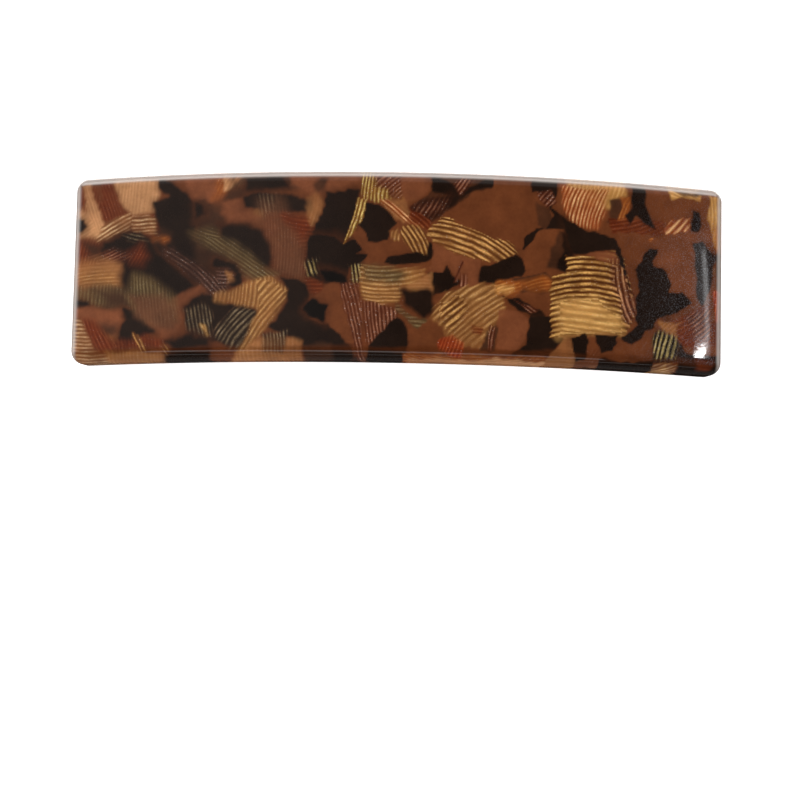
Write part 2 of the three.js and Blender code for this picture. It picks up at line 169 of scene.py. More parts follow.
class Nodes:
    """Short calls for building the node tree of a material or a world."""

    def __init__(self, owner):
        self.tree = owner.node_tree

    def add(self, kind, inputs=(), **settings):
        node = self.tree.nodes.new(kind)
        for key, value in settings.items():
            setattr(node, key, value)
        for key, value in dict(inputs).items():
            self.feed(node.inputs[key], value)
        return node

    def feed(self, socket, value):
        if isinstance(value, bpy.types.NodeSocket):
            self.tree.links.new(value, socket)
        else:
            socket.default_value = value

    def math(self, operation, a, b=0.0, c=0.0, clamp=False):
        node = self.add("ShaderNodeMath", operation=operation, use_clamp=clamp)
        for socket, value in zip(node.inputs, (a, b, c)):
            self.feed(socket, value)
        return node.outputs[0]

    def product(self, first, *others):
        for other in others:
            first = self.math("MULTIPLY", first, other)
        return first

    def highest(self, first, *others):
        for other in others:
            first = self.math("MAXIMUM", first, other)
        return first

    def mix(self, factor, a, b, blend="MIX"):
        node = self.add("ShaderNodeMix", data_type="RGBA", blend_type=blend)
        self.feed(node.inputs[0], factor)
        self.feed(node.inputs[6], a)
        self.feed(node.inputs[7], b)
        return node.outputs[2]

    def ramp(self, value, low, high, to_low=0.0, to_high=1.0, curve="LINEAR"):
        node = self.add("ShaderNodeMapRange", {
            "Value": value, "From Min": low, "From Max": high,
            "To Min": to_low, "To Max": to_high}, interpolation_type=curve)
        return node.outputs[0]

    def smooth(self, *range_map):
        return self.ramp(*range_map, curve="SMOOTHSTEP")

    def bump(self, height, strength, distance, **others):
        return self.add("ShaderNodeBump", {
            "Height": height, "Strength": strength, "Distance": distance,
            **others}).outputs[0]

    def attribute(self, name, output="Fac"):
        return self.add("ShaderNodeAttribute", attribute_name=name).outputs[output]

    def noise(self, vector, scale, detail=2.0, roughness=0.5):
        node = self.add("ShaderNodeTexNoise", {
            "Vector": vector, "Scale": scale, "Detail": detail, "Roughness": roughness})
        return node.outputs["Fac"]

    def object_mm(self):
        coordinates = self.add("ShaderNodeTexCoord").outputs["Object"]
        scaled = self.add("ShaderNodeVectorMath", operation="SCALE")
        self.feed(scaled.inputs[0], coordinates)
        scaled.inputs["Scale"].default_value = 1 / MM
        return scaled.outputs[0]

    def stretch(self, vector, scale):
        node = self.add("ShaderNodeVectorMath", operation="MULTIPLY")
        self.feed(node.inputs[0], vector)
        node.inputs[1].default_value = scale
        return node.outputs[0]

    def finish(self, shader):
        output = self.add("ShaderNodeOutputMaterial")
        self.tree.links.new(shader, output.inputs["Surface"])


def linear(red, green, blue):
    """A display colour, 0 to 255, as a linear colour."""
    values = np.array((red, green, blue)) / 255
    return np.where(values <= 0.04045, values / 12.92, ((values + 0.055) / 1.055) ** 2.4)


# ---------------------------------------------------------------- the acetate's flakes

def look(tone, ridge=None, ridges=0.0, glitter=0.0, fade=0.0):
    """A flake's tone is its body colour, and its ridge colour shows on the fine pressed
    lines that cross it. Ridges is how clearly the lines show, glitter how much they
    sparkle, and fade how far the flake thins out to one side."""
    return dict(tone=tone, ridge=ridge or tone, ridges=ridges, glitter=glitter, fade=fade)


KINDS = {
    "dark": look((33, 20, 13)),
    "black": look((19, 12, 8)),
    "umber": look((64, 38, 24), fade=0.3),
    "clay": look((112, 60, 32)),
    "rose": look((126, 70, 42), fade=0.2),
    "tan": look((172, 112, 64), (206, 154, 104), 0.25, 0.1, 0.6),
    "cream": look((204, 146, 98), (232, 184, 136), 0.3, 0.0, 0.6),
    "honey": look((222, 158, 84), (255, 214, 140), 0.5, 0.2, 0.6),
    "butter": look((206, 148, 80), (255, 208, 128), 0.6, 0.3, 0.2),
    "amber": look((160, 82, 30), (232, 150, 74), 0.4, 0.4, 0.6),
    "rust": look((104, 40, 14), (172, 90, 52), 0.4, 0.15, 0.5),
    "flame": look((170, 80, 36), (255, 196, 134), 1.0, 0.4, 0.3),
    "ember": look((150, 50, 18), (240, 130, 80), 0.5, 0.9, 0.5),
    "olive": look((92, 70, 42), (172, 148, 102), 0.5, 0.3, 0.65),
    "mist": look((102, 62, 40), (150, 106, 76), 0.22, 0.05, 0.5),
    "plum": look((66, 38, 28), (168, 124, 106), 0.5, 0.8, 0.4),
    "gold": look((122, 70, 32), (255, 192, 112), 1.0, 0.5, 0.3),
    "brass": look((104, 56, 22), (255, 192, 108), 1.0, 0.5, 0.15),
    "spangle": look((140, 88, 34), (255, 220, 130), 0.9, 1.0, 0.2),
    "glint": look((38, 25, 14), (240, 208, 132), 0.9, 1.0, 0.3),
    # Not a flake: the tone of the painted dark band of shade along the near edge.
    "painted_shade": look((84, 38, 12)),
    "pearl": look((160, 104, 54), (248, 190, 118), 0.8, 0.4, 0.5),
    "pale": look((146, 92, 54), (250, 208, 154), 0.9, 0.2, 0.4),
    "steel": look((46, 31, 21), (172, 148, 112), 0.8, 0.3, 0.5),
    "copper": look((88, 38, 20), (214, 148, 114), 0.6, 1.0, 0.55),
}

# Each flake: kind, outline in mm, the direction of its lines in degrees, the softness of
# its edge in mm and, where it isn't the usual one, the pitch of its lines in mm. The
# outlines are set after the photograph.
# The list runs from the deepest flake to the topmost one.
FRONT_FLAKES = [
    # left quarter
    ("clay", [(-50, 14.5), (-24, 14.5), (-24, 8), (-50, 8)], 0, 0.6),
    ("umber", [(-46, 5), (-36, 7), (-26, 9.6), (-21, 7), (-20, 0), (-26, -5), (-34, -5), (-44, -6),
     (-46, -1)], 0, 1.6),
    ("dark", [(-42, 5), (-36, 6), (-30, 6), (-25, 6), (-24, 1), (-27, -2), (-33, -5), (-41, -4)],
     0, 2.2),
    ("umber", [(-50, 14.5), (-42.6, 14.5), (-43.4, 11.4), (-46, 12.4), (-50, 12)], 70, 0.5),
    ("rust", [(-49.8, 12.4), (-46.2, 12.4), (-44.6, 9), (-45.4, 6), (-49.5, 9)], 80, 0.6),
    ("cream", [(-48.2, 12.6), (-47, 12.8), (-45.8, 9.6), (-44.2, 6), (-43.6, 4.6), (-45.6, 4.2),
     (-46.6, 6.4), (-47.4, 9)], 112, 0.25),
    ("cream", [(-50, 8.6), (-48, 8.8), (-46, 7), (-44.8, 4.6), (-46.4, 4), (-50, 6.6)], 30, 0.6),
    ("rust", [(-45, 14), (-42.6, 13), (-40, 8.4), (-41, 6.8), (-44.2, 7.2), (-45, 10)], 112, 0.4),
    ("cream", [(-43.4, 14.5), (-36, 14.5), (-35.4, 11), (-35.8, 8), (-39.8, 7.2), (-41.6, 10),
     (-42.8, 11.8)], 86, 0.3),
    ("umber", [(-44, 14.5), (-35, 14.5), (-35, 13.2), (-43, 13.4)], 0, 0.5),
    ("rose", [(-33, 14.5), (-26, 14.5), (-25.6, 10), (-27.5, 9), (-31, 9.6)], 0, 0.3),
    ("rust", [(-40.4, 8), (-36, 7.6), (-35, 5), (-35.4, 4), (-39.6, 5)], 3, 0.25),
    ("pale", [(-40.4, 7.5), (-36, 7.2), (-35.4, 4.4), (-39.6, 5.1)], 2, 0.1),
    ("pale", [(-46, 4.2), (-44.6, 6.2), (-42.4, 7.4), (-40.2, 7.9), (-39.9, 5.4), (-42.6, 5),
     (-45.4, 3.4)], 27, 0.08),
    ("rust", [(-50, 5.4), (-46.2, 4.6), (-44, 3.4), (-42, 0.8), (-46, 0.2), (-50, 0.4)], 75, 0.7),
    ("dark", [(-49.6, 7.7), (-47.8, 7.3), (-47.3, 6.4), (-48, 5.5), (-49.6, 5.8)], 0, 0.2),
    ("umber", [(-47.8, 4), (-44, 3.6), (-40, 3.4), (-38.6, 0.4), (-42, 0), (-46.4, 1.6)], 0, 0.9),
    ("dark", [(-44.4, 3.6), (-41, 5.1), (-38.4, 4.8), (-36.8, 3.8), (-35.6, 1.8), (-33, -0.2),
     (-29.4, -3.1), (-32.2, -4.8), (-36, -5), (-38.6, -4.4), (-40.6, -4.4), (-41.6, -2.4),
     (-41, 0.4), (-42.4, 2), (-44.6, 2.6)], 0, 0.3),
    ("steel", [(-41, 4.9), (-38.4, 4.7), (-37.2, 3.8), (-40.4, 4.1)], -14, 0.3),
    ("rust", [(-40, 1.8), (-38.2, 3), (-37.2, 1.6), (-38, 0.4), (-39.8, 0.4)], 60, 1.3),
    ("copper", [(-46.6, 1.8), (-42.6, 2.4), (-39.6, 1.8), (-41, 1.2), (-43, 1)], 20, 0.8),
    ("dark", [(-35.6, 12.9), (-34, 12.7), (-31.4, 11), (-30.2, 9), (-30, 5.6), (-30.4, 4),
     (-27.6, 0.4), (-31.2, -0.6), (-33.6, 1.2), (-35, 4.4), (-35.8, 6.6), (-36.1, 8), (-36.4, 9.4),
     (-35, 9.9), (-34.2, 10.3), (-35.6, 11.6)], 0, 0.2),
    ("umber", [(-30.2, 9.6), (-28.4, 9.8), (-27, 8.4), (-25.8, 6.9), (-27, 5.5), (-30.2, 5.8)],
     0, 0.5),
    ("dark", [(-30, 9.2), (-28.8, 9), (-28.2, 7.4), (-30, 6.6)], 0, 0.4),
    ("umber", [(-37, 4.4), (-35.2, 5.3), (-33.6, 4.5), (-33.6, 3.3), (-36, 2.9)], 60, 0.9),
    ("amber", [(-36.2, 4.2), (-35, 4.5), (-34, 4), (-34.6, 3.6)], 20, 0.7),
    ("tan", [(-50, 0.8), (-46, 1), (-43, 0.8), (-41.6, 0.2), (-41.6, -2.6), (-44, -3.2),
     (-50, -3)], 2, 1.3),
    ("pearl", [(-48.6, -0.8), (-44.4, -0.6), (-42.4, -1), (-42.4, -2.2), (-47.4, -2)], 2, 1.5),
    ("olive", [(-50, -2.6), (-42, -2.8), (-39.6, -4), (-38.8, -5.6), (-44, -5.8), (-50, -4.6)],
     86, 0.9),
    ("umber", [(-45.6, -3.2), (-40.4, -3.6), (-39.2, -6.2), (-43, -6)], 86, 1.0),
    ("dark", [(-49.6, -5), (-46.5, -5), (-46.3, -5.6), (-49.6, -5.7)], 0, 0.3),
    ("rose", [(-49, -5.8), (-41, -6.3), (-40.8, -8), (-42, -10), (-45, -8.6), (-49, -7)], 0, 0.3),
    ("umber", [(-44.6, -8.4), (-41.8, -8.6), (-41, -10.2), (-43.6, -10)], 0, 1.0),
    ("rust", [(-47.6, -7.6), (-45.6, -8), (-42.8, -10.6), (-39.6, -10.6), (-38, -11.8),
     (-43.6, -12.8), (-46, -11)], 118, 0.7),
    ("pale", [(-50, -7.2), (-47.8, -7.6), (-46.5, -9.5), (-45.4, -11.6), (-43, -13), (-41, -14.5),
     (-50, -14.5)], -4, 0.2),
    ("rust", [(-46.6, -9.4), (-44.8, -9), (-41.8, -11.6), (-42.4, -12.8), (-45, -12.4)], 120, 0.8),
    ("tan", [(-43.4, -12.6), (-39, -12.2), (-34, -12.8), (-33.6, -14.5), (-44, -14.5)], 80, 0.4),
    ("dark", [(-40.6, -6.3), (-37.5, -6.2), (-35.3, -8.5), (-35.6, -10.2), (-38.5, -10.6),
     (-40, -12), (-41.3, -10.8), (-41, -9), (-40, -8)], 0, 0.14),
    ("rust", [(-41.4, -10.8), (-36.4, -10.4), (-34, -11.4), (-35, -12.4), (-41.6, -12.4)],
     100, 0.5),
    ("gold", [(-38.9, -10.2), (-38.4, -10.3), (-37, -12.4), (-37.5, -12.5)], 118, 0.1),
    ("gold", [(-34.4, -11.6), (-33, -12.4), (-32.4, -13.2), (-34, -13.6)], 130, 0.2),
    ("rose", [(-33, -4.8), (-28.4, -2.9), (-27.4, -3.8), (-30, -5.5), (-31.2, -6.6), (-31.6, -10),
     (-34, -10.6), (-36, -9), (-38.2, -6.6), (-35, -6.4)], 0, 0.25),
    ("olive", [(-39.4, -1.2), (-36.4, -2), (-32.6, -4.8), (-31.8, -8.6), (-35.4, -9), (-39, -6.4),
     (-39.6, -4)], 98, 0.9),
    ("mist", [(-39.6, -4.4), (-34, -4.4), (-32.2, -7), (-32.6, -9.6), (-35.5, -9), (-38.4, -7.4)],
     98, 0.9),
    ("umber", [(-30.4, 4.8), (-24, 5), (-23.4, 0.4), (-28, -0.6), (-29.6, 1)], 0, 0.9),
    ("olive", [(-30.8, 4.8), (-27.4, 5.3), (-24.4, 4.4), (-25, 2.2), (-29, 2.8)], -16, 0.9),
    ("dark", [(-31.2, -6.1), (-28.4, -4.4), (-25.5, -5.4), (-20, -6.8), (-19.8, -8.4),
     (-21.4, -11.6), (-24, -12.2), (-28, -11), (-30.6, -10)], 0, 0.14),
    ("steel", [(-31.1, -6.6), (-28.6, -5.6), (-26.9, -7), (-27, -10.6), (-28.4, -10.8),
     (-30.6, -9.8)], 102, 0.3),
    ("butter", [(-28.6, -8.8), (-27.8, -9), (-27, -10.6), (-27.6, -10.9)], 108, 0.2),
    ("dark", [(-34, -11.2), (-30, -10.3), (-27.2, -11), (-26.8, -13), (-28, -14.5), (-35, -14.5),
     (-34, -13.4), (-33, -12.3)], 0, 0.5),
    ("plum", [(-34.6, 2.1), (-33, 2.6), (-29.5, 0), (-26, -2.2), (-24.2, -1.6), (-24.6, -4.4),
     (-27.4, -4.3), (-30.5, -1.6), (-33, 0.4)], -40, 0.4),
    # second quarter
    ("dark", [(-26.6, 14.5), (-24.6, 13.4), (-25, 11.9)], 0, 0.15),
    ("amber", [(-27, 14.5), (-23.4, 14.5), (-22.8, 11.4), (-25.4, 10.4), (-27.4, 9.4), (-27, 12)],
     60, 0.5),
    ("cream", [(-26, 14.5), (-22.8, 13.4), (-22.4, 12), (-24, 11.3), (-25.6, 10.6), (-25.8, 12.2)],
     60, 0.1),
    ("dark", [(-26, 14.5), (-24.6, 14.5), (-23.6, 13.2), (-24.2, 12.6)], 0, 0.1),
    ("umber", [(-25, 10.6), (-22.6, 13.4), (-17, 13.4), (-15.6, 12.6), (-13.8, 11), (-17, 10.7),
     (-20, 10.6), (-23, 9.8), (-25.6, 9.2)], 0, 0.4),
    ("dark", [(-22, 12.8), (-17, 12.8), (-16, 11.4), (-20, 10.9), (-22, 11)], 0, 0.35),
    ("rose", [(-15.6, 14.5), (-7, 14.5), (-6, 11.8), (-10, 10.4), (-12.5, 10.2), (-15.6, 11.4)],
     0, 0.3),
    ("umber", [(-12.3, 11.6), (-11, 12.5), (-10.2, 12.3), (-10.3, 10.5), (-11.8, 10.3)], 0, 0.4),
    ("rose", [(-25.6, 9.1), (-23, 9.8), (-21.6, 8), (-19.4, 7), (-19, 5.8), (-22, 5.9),
     (-24.5, 6.4), (-26, 7.5)], 0, 0.5),
    ("dark", [(-22.8, 10), (-20, 10.2), (-17.5, 10.3), (-15, 10), (-12.6, 9), (-12.3, 7.8),
     (-14.5, 7.2), (-17, 7.6), (-19.5, 8), (-22.4, 8.2)], 0, 0.2),
    ("steel", [(-20.2, 10), (-18, 10.1), (-17.4, 7), (-19.4, 6.4)], 100, 0.7),
    ("rust", [(-19, 7.2), (-16.5, 7.6), (-12.4, 6.8), (-11.2, 5.4), (-11.6, 1), (-13, -2),
     (-16.5, -2), (-19, 1), (-19.4, 4)], 4, 0.7),
    ("mist", [(-20.6, 9.6), (-17.2, 9.8), (-14.4, 4.8), (-12.8, 2), (-13, -2.4), (-17.4, -2.2),
     (-18.6, 1), (-20, 5)], 92, 1.4, 0.44),
    ("rust", [(-16.6, 7), (-12.4, 6.4), (-11.2, 5), (-11.6, 3), (-15, 4.8)], -8, 0.7),
    ("tan", [(-13, 9.7), (-11.8, 10.5), (-11, 9.5), (-10.6, 8.5), (-11.4, 6), (-12.5, 5),
     (-12.8, 7)], 80, 0.3),
    ("dark", [(-25.8, 5.4), (-23, 6), (-20.5, 5.1), (-19, 3.6), (-18.2, 1), (-18.4, -0.6),
     (-21, 0), (-23, 1.5), (-25.4, 3)], 0, 0.5),
    ("olive", [(-28.4, 4.2), (-24, 3.4), (-21.4, 1.4), (-19.6, 0), (-17, -1.6), (-19.5, -3),
     (-22.4, -1.8), (-24.5, 0.4), (-28, 2.8)], -34, 0.7),
    ("dark", [(-26.6, 1), (-23.6, 0), (-22.2, -1.5), (-22.4, -3), (-24, -3.7), (-24.6, -2.9),
     (-23.7, -1.6), (-25, -0.6), (-27.2, -0.6)], 0, 0.2),
    ("plum", [(-26.2, -1), (-24.6, -0.9), (-23.8, -2), (-24.5, -3.1), (-26, -3.5)], 0, 0.6),
    ("tan", [(-24.9, -1.2), (-23.9, -1.4), (-23.7, -2.4), (-24.6, -3)], 0, 0.3),
    ("dark", [(-10.3, 10.4), (-6.5, 11.1), (-5.3, 10.8), (-5.7, 8), (-6.5, 5), (-7.5, 2.6),
     (-9.5, 4), (-12, 4), (-11.2, 6.5), (-10.6, 8.5)], 0, 0.1),
    ("dark", [(-12.6, 4), (-9, 4.3), (-7.5, 3), (-5.6, 3.2), (-5, 2.2), (-5.8, 1.4), (-4, 1.2),
     (-5, 0.2), (-6.5, -0.8), (-7, -3), (-10.2, -2.8), (-12.8, -2), (-13, 0.6)], 0, 0.15),
    ("black", [(-11.2, -1), (-8.5, -1.3), (-7, -1.8), (-7, -3), (-10, -2.8)], 0, 0.3),
    ("rust", [(-13, -2.2), (-10.4, -2.8), (-10.3, -4), (-11.8, -4.8), (-13.2, -4)], 0, 0.3),
    ("clay", [(-7, 5.2), (-4.5, 4.6), (-4, 3.2), (-1, 3.3), (1.8, 3), (1, 1), (-1.5, 0.5),
     (-1.6, -0.4), (-5, -0.7), (-4, 1.2), (-5, 2.2), (-6, 3.4)], 0, 0.12),
    ("pearl", [(-26.4, -4.4), (-23.5, -3.6), (-21, -2.4), (-18, -2.2), (-15.6, -3.8),
     (-17.4, -6.4), (-20, -7), (-22.5, -6.2), (-26.4, -5.4)], 84, 0.3),
    ("steel", [(-25.8, -9), (-23.6, -6.6), (-20, -7), (-19.6, -9), (-22, -13), (-24.6, -12.4),
     (-26.4, -10.6)], 50, 0.3, 0.78),
    ("pearl", [(-20.4, -2.6), (-18.4, -2.4), (-15.4, -4), (-15.8, -5.6), (-17.6, -8),
     (-19.6, -10.6), (-21.4, -13.2), (-23, -13), (-20, -7.6), (-19.8, -6)], 52, 0.2, 0.72),
    ("dark", [(-16.6, -2.2), (-14, -2.5), (-13, -3), (-12.5, -5.5), (-12, -8), (-9.5, -9),
     (-7.5, -10.5), (-6, -12.4), (-6, -14.5), (-12.5, -14.5), (-13, -11.5), (-15.5, -10.5),
     (-18.4, -9.4), (-17.2, -8), (-15.5, -5.6), (-15.4, -4)], 0, 0.15),
    ("tan", [(-21.6, -12.2), (-19, -10.8), (-17, -10.5), (-15, -11), (-13.2, -11.4),
     (-12.8, -14.5), (-26, -14.5), (-23, -13)], 86, 0.2),
    ("steel", [(-19.2, -10.4), (-15.2, -9.6), (-15.4, -12), (-16.2, -13.2), (-19, -13)], 94, 0.2),
    ("umber", [(-13, -12), (-9, -11.8), (-9, -14.5), (-13, -14.5)], 0, 0.3),
    ("clay", [(-10.2, -3), (-8, -2.8), (-7.8, -5), (-7, -7), (-6, -9.5), (-5.4, -11.6),
     (-7, -11.4), (-9, -9.5), (-10, -8.5), (-9.5, -6.3), (-11.3, -5.8), (-11.8, -5),
     (-10.5, -4.2)], 0, 0.1),
    ("black", [(-13.3, -6.5), (-12, -5.3), (-11, -6), (-9.6, -6.2), (-10.2, -8.8), (-12, -8),
     (-13.2, -7)], 0, 0.12),
    ("copper", [(-8, -3), (-5.2, -2.8), (-4.8, -5), (-4.5, -9), (-3.8, -14.5), (-5.6, -13.4),
     (-6.2, -10), (-7.5, -7)], 104, 0.1),
    ("glint", [(-13.1, 0.6), (-11.3, 0.6), (-11, -1.5), (-12.8, -2)], 108, 0.5),
    ("glint", [(-6.8, -0.2), (-5, -0.2), (-4.9, -2.8), (-6.3, -2.8)], 100, 0.3),
    ("spangle", [(-5.2, 14.5), (-3.2, 12.9), (-2.8, 11.3), (-1.5, 11.2), (-0.8, 9.6), (-3, 9.2),
     (-5.2, 9.2)], 84, 0.3),
    ("copper", [(-3.4, 14.5), (2.4, 14.5), (2, 11), (0.5, 9.4), (-1.2, 9.6), (-1.3, 11),
     (-3, 11.4)], 40, 0.3),
    ("rose", [(0.6, 14.5), (5.4, 14.5), (5, 11), (3.4, 9.4), (1.4, 9.2), (0.8, 11)], 0, 0.3),
    ("tan", [(-3.4, 9.6), (1, 9.4), (3, 6.8), (1, 6), (-0.4, 7), (-2, 8.6)], -42, 0.3),
    ("flame", [(-2.6, 9.4), (-1, 9.3), (2, 7.2), (3.8, 5.6), (3, 5.4), (0.4, 7)], -42, 0.2),
    ("dark", [(-4.7, 8.9), (-2.5, 8.6), (-0.6, 6.9), (0, 6), (-1, 4.8), (-1.2, 3.4), (-4, 3.3),
     (-4.3, 4.5), (-5.4, 6)], 0, 0.1),
    ("spangle", [(-5.7, 9.6), (-4.4, 9.4), (-5, 6.6), (-5.7, 4.8), (-7.5, 2.8), (-6.2, 7)],
     74, 0.08),
    ("pearl", [(-5, -0.3), (-2, -0.5), (4.4, -0.4), (4.6, -1.6), (3, -2.8), (1, -3), (0.6, -5.6),
     (-2, -6.2), (-4.7, -5), (-4.8, -2)], 3, 0.4, 0.62),
    ("olive", [(-4.7, -0.4), (0, -0.6), (2, -1.4), (0.4, -3), (-4.4, -2.6)], 3, 0.9, 0.62),
    ("copper", [(-4.7, -5.6), (-1, -6.2), (0.6, -6.6), (0.4, -10), (-1.4, -12.2), (-3.6, -12.2),
     (-4.5, -9)], 98, 0.4),
    # third quarter
    ("umber", [(5.2, 14.5), (15.4, 14.5), (14.4, 11.6), (11, 10.8), (9.5, 9.4), (7, 7.4), (5, 6),
     (2, 8.2), (3.5, 9.5), (5.2, 10.8)], 0, 0.2),
    ("dark", [(4.6, 14.5), (6, 12.8), (8, 12), (10.5, 11.6), (13, 12.9), (15.2, 12.6), (14, 11.6),
     (11, 11), (9.5, 9.6), (7.4, 10.4), (5.2, 10.8)], 0, 0.2),
    ("dark", [(2, 8.4), (4, 9.6), (7.5, 10.4), (9, 9.8), (7.5, 8), (6.5, 7.1), (5, 6.4), (3, 6.6)],
     60, 0.5),
    ("copper", [(2.6, 8.4), (4.4, 9), (7.4, 9.6), (7.2, 7.8), (5, 6.8), (3.4, 7)], 60, 1.6),
    ("copper", [(8.2, 12), (9.6, 13.4), (11.2, 12.6), (9.2, 10.6)], 55, 0.5),
    ("clay", [(15, 14.5), (19.6, 14.5), (20, 11), (20.5, 9), (20.5, 7), (18.5, 4.5), (17.8, 2.5),
     (16.5, 3), (12, 5), (8.5, 6), (6.8, 7.3), (9.5, 9.5), (11, 10.8), (14, 11.5)], 0, 0.12),
    ("rust", [(1.8, 8.2), (5, 6.6), (5.2, 4.4), (3.5, 5.4), (1.6, 6.8)], -40, 0.3),
    ("pearl", [(-1.2, 5), (0.5, 5.2), (0.6, 3.4), (-0.6, 3.3)], 80, 0.2),
    ("gold", [(0.6, 5.6), (3.5, 5.5), (5, 3.5), (5.1, 1.4), (4.4, 0.9), (3, 1.4), (1.6, 3),
     (0.6, 4.4)], 118, 0.15),
    ("dark", [(-1.2, 1.1), (3, 1.6), (4.6, 1.2), (5, 3), (5.8, 2.2), (5.3, 0.8), (4.5, 0.2),
     (0, -0.2), (-1.4, 0.2)], 0, 0.2),
    ("rose", [(5.5, 3.2), (8.5, 1.5), (12.4, 1.2), (12.5, -2.6), (9.5, -3.2), (8.8, -2),
     (7.3, -0.2), (7, -1.5), (5, -1), (5.2, 0.8)], 0, 0.12),
    ("dark", [(5, -1.3), (7, -1.3), (7.5, -0.2), (8.4, -1.6), (10, -2.5), (8.5, -3.4), (7.5, -4.1),
     (5.5, -4.6), (5.2, -2.8)], 0, 0.15),
    ("copper", [(8.2, -3), (9, -2.4), (10, 0.6), (9.5, 0.6), (8.6, -1.6)], 68, 0.15),
    ("copper", [(9.6, -1.4), (10.5, -1.2), (10.2, -3.1), (9.5, -3)], 90, 0.3),
    ("tan", [(3, -2.6), (5.3, -1.3), (5.5, -4.2), (4, -4), (1, -3.4)], 0, 0.3),
    ("dark", [(1, -3.8), (4.5, -3.5), (5.5, -4.1), (5.6, -6.5), (4.3, -7.8), (3.5, -7.4),
     (2.5, -6.6), (1.2, -6)], 0, 0.55),
    ("olive", [(0.2, -5.6), (1.5, -6.5), (3.5, -8), (5.4, -8.2), (3.6, -10), (1.5, -8), (0, -7)],
     0, 0.25),
    ("clay", [(2.6, -10), (5, -8), (7, -8.8), (7.6, -11), (7.4, -13), (4, -12.6), (2, -12.4)],
     0, 0.2),
    ("dark", [(-3.8, -12), (-0.8, -9), (0.4, -8), (1.5, -8.5), (2.2, -10.4), (1.8, -12.8),
     (0.8, -14.5), (-3.8, -14.5)], 0, 0.2),
    ("gold", [(4.7, 5.8), (7, 6.9), (12, 5.1), (16.5, 3.4), (17.9, 2.2), (15.5, 0.8), (12, 1),
     (8.5, 1.6), (5.6, 3.4), (4.5, 4.4)], -20, 0.08, 0.72),
    ("dark", [(12.5, -0.1), (15, 0.8), (17.5, 2), (18.5, 1), (18.9, -0.5), (18.5, -1.3),
     (16.5, -2), (14.5, -2.6), (12.3, -2.3)], 0, 0.1),
    ("dark", [(18, 2.3), (19, 4.5), (20.5, 5.9), (21.5, 6), (20, 4), (18.8, 2.5)], 0, 0.12),
    ("umber", [(20.4, 9.8), (22.5, 9), (23, 7), (22, 5.8), (20.6, 6.3)], 0, 0.3),
    ("dark", [(19.5, 12.5), (21, 14.5), (23.6, 13.4), (23.5, 11), (22.6, 9), (24.5, 8), (25.5, 7),
     (25.2, 5.6), (22, 6), (23, 8), (22, 9.5), (20.5, 11), (19.5, 11)], 0, 0.1),
    ("copper", [(20, 11.4), (22.6, 11.8), (23.4, 9.8), (22, 9.2), (20.6, 10.2)], 50, 0.2),
    ("clay", [(21, 5.5), (24.4, 5.7), (24, 4), (22, 1.5), (21, 0.5), (19, -0.3), (18.8, 1),
     (19.5, 3)], 0, 0.12),
    ("umber", [(24, 5.6), (26, 5.4), (26.2, 1), (25, -0.5), (22, 0.2), (22.6, 2)], 72, 0.4),
    ("dark", [(24, 5.6), (26, 5.4), (26.2, 1), (25, -0.5), (23.4, 0), (24.4, 3)], 0, 0.3),
    ("pearl", [(7.4, -4), (12, -2.5), (15, -2.7), (16, -4.5), (16, -6.3), (15, -8), (13.5, -10),
     (12.5, -12), (10, -12), (8, -10.4), (7.5, -9), (5.4, -8), (6.4, -5.6)], 40, 0.4, 0.85),
    ("gold", [(6.6, -5.8), (9, -4.4), (10.6, -6), (8.4, -9.4), (6.8, -8.6)], 40, 0.7, 0.85),
    ("rust", [(10.9, -8.4), (13.4, -9.2), (12.5, -10.1), (11.4, -9.8)], 0, 0.15),
    ("umber", [(13.2, -9.8), (14.8, -8), (15.2, -9), (14.6, -12.6), (12.4, -12.6)], 80, 0.2),
    ("copper", [(13.9, -8.6), (14.7, -9), (14.3, -12.6), (13.4, -12.4)], 82, 0.15),
    ("rose", [(15.2, -6.4), (18, -6.4), (19.6, -7.4), (19.4, -10.4), (17.5, -12), (15, -12.4),
     (14.9, -9)], 0, 0.12),
    ("umber", [(17.2, -1.8), (21.8, -0.5), (23, -1.4), (23, -3.6), (19.5, -4.1), (18, -3.2)],
     14, 0.15),
    ("amber", [(17.6, -2.2), (21.4, -1.2), (22.8, -1.8), (22.6, -3.2), (19.5, -3.8)], 16, 0.7),
    ("amber", [(14.6, -2.3), (18, -1.9), (18.6, -3.2), (16.6, -4.7), (15, -4.2)], 20, 0.4),
    ("honey", [(14.2, -2.6), (17.2, -2.6), (17.4, -3.4), (16, -4.2), (14.6, -3.8)], 20, 0.7),
    ("clay", [(18.4, -4), (22.9, -3.5), (22.9, -7), (20.6, -6.2)], 0, 0.15),
    ("dark", [(15.8, -4.4), (18, -4.4), (20.4, -5.9), (22, -6.9), (19.5, -6.9), (17, -5.9)],
     0, 0.15),
    ("copper", [(16.8, -4.4), (18, -4.7), (20.6, -6.2), (19.8, -6.5), (17.6, -5.4)], -32, 0.1),
    ("dark", [(19.4, -6.7), (23.5, -7.2), (23.3, -9), (24.6, -10), (22.5, -12.8), (16.8, -12.9),
     (19.4, -11.5)], 0, 0.1),
    ("tan", [(22.3, -13.4), (25, -10.2), (26.2, -10.4), (26.6, -14.5), (22, -14.5)], 0, 0.2),
    ("amber", [(1.4, -13), (12, -13.1), (22, -13), (22, -14.5), (1.4, -14.5)], 4, 0.3),
    ("cream", [(2, -13.6), (9, -13.9), (18, -13.4), (22, -13.8), (22, -14.5), (2, -14.5)], 4, 0.3),
    ("ember", [(6.6, -11.2), (8.4, -10.2), (9.9, -11.4), (9.6, -13.3), (8, -13.1), (6.8, -12.2)],
     70, 0.3),
    # right quarter
    ("honey", [(24.2, 14.5), (34.4, 14.5), (34, 11.6), (32.4, 10.6), (31.4, 9.4), (30, 9.4),
     (25, 10.2)], 70, 0.6),
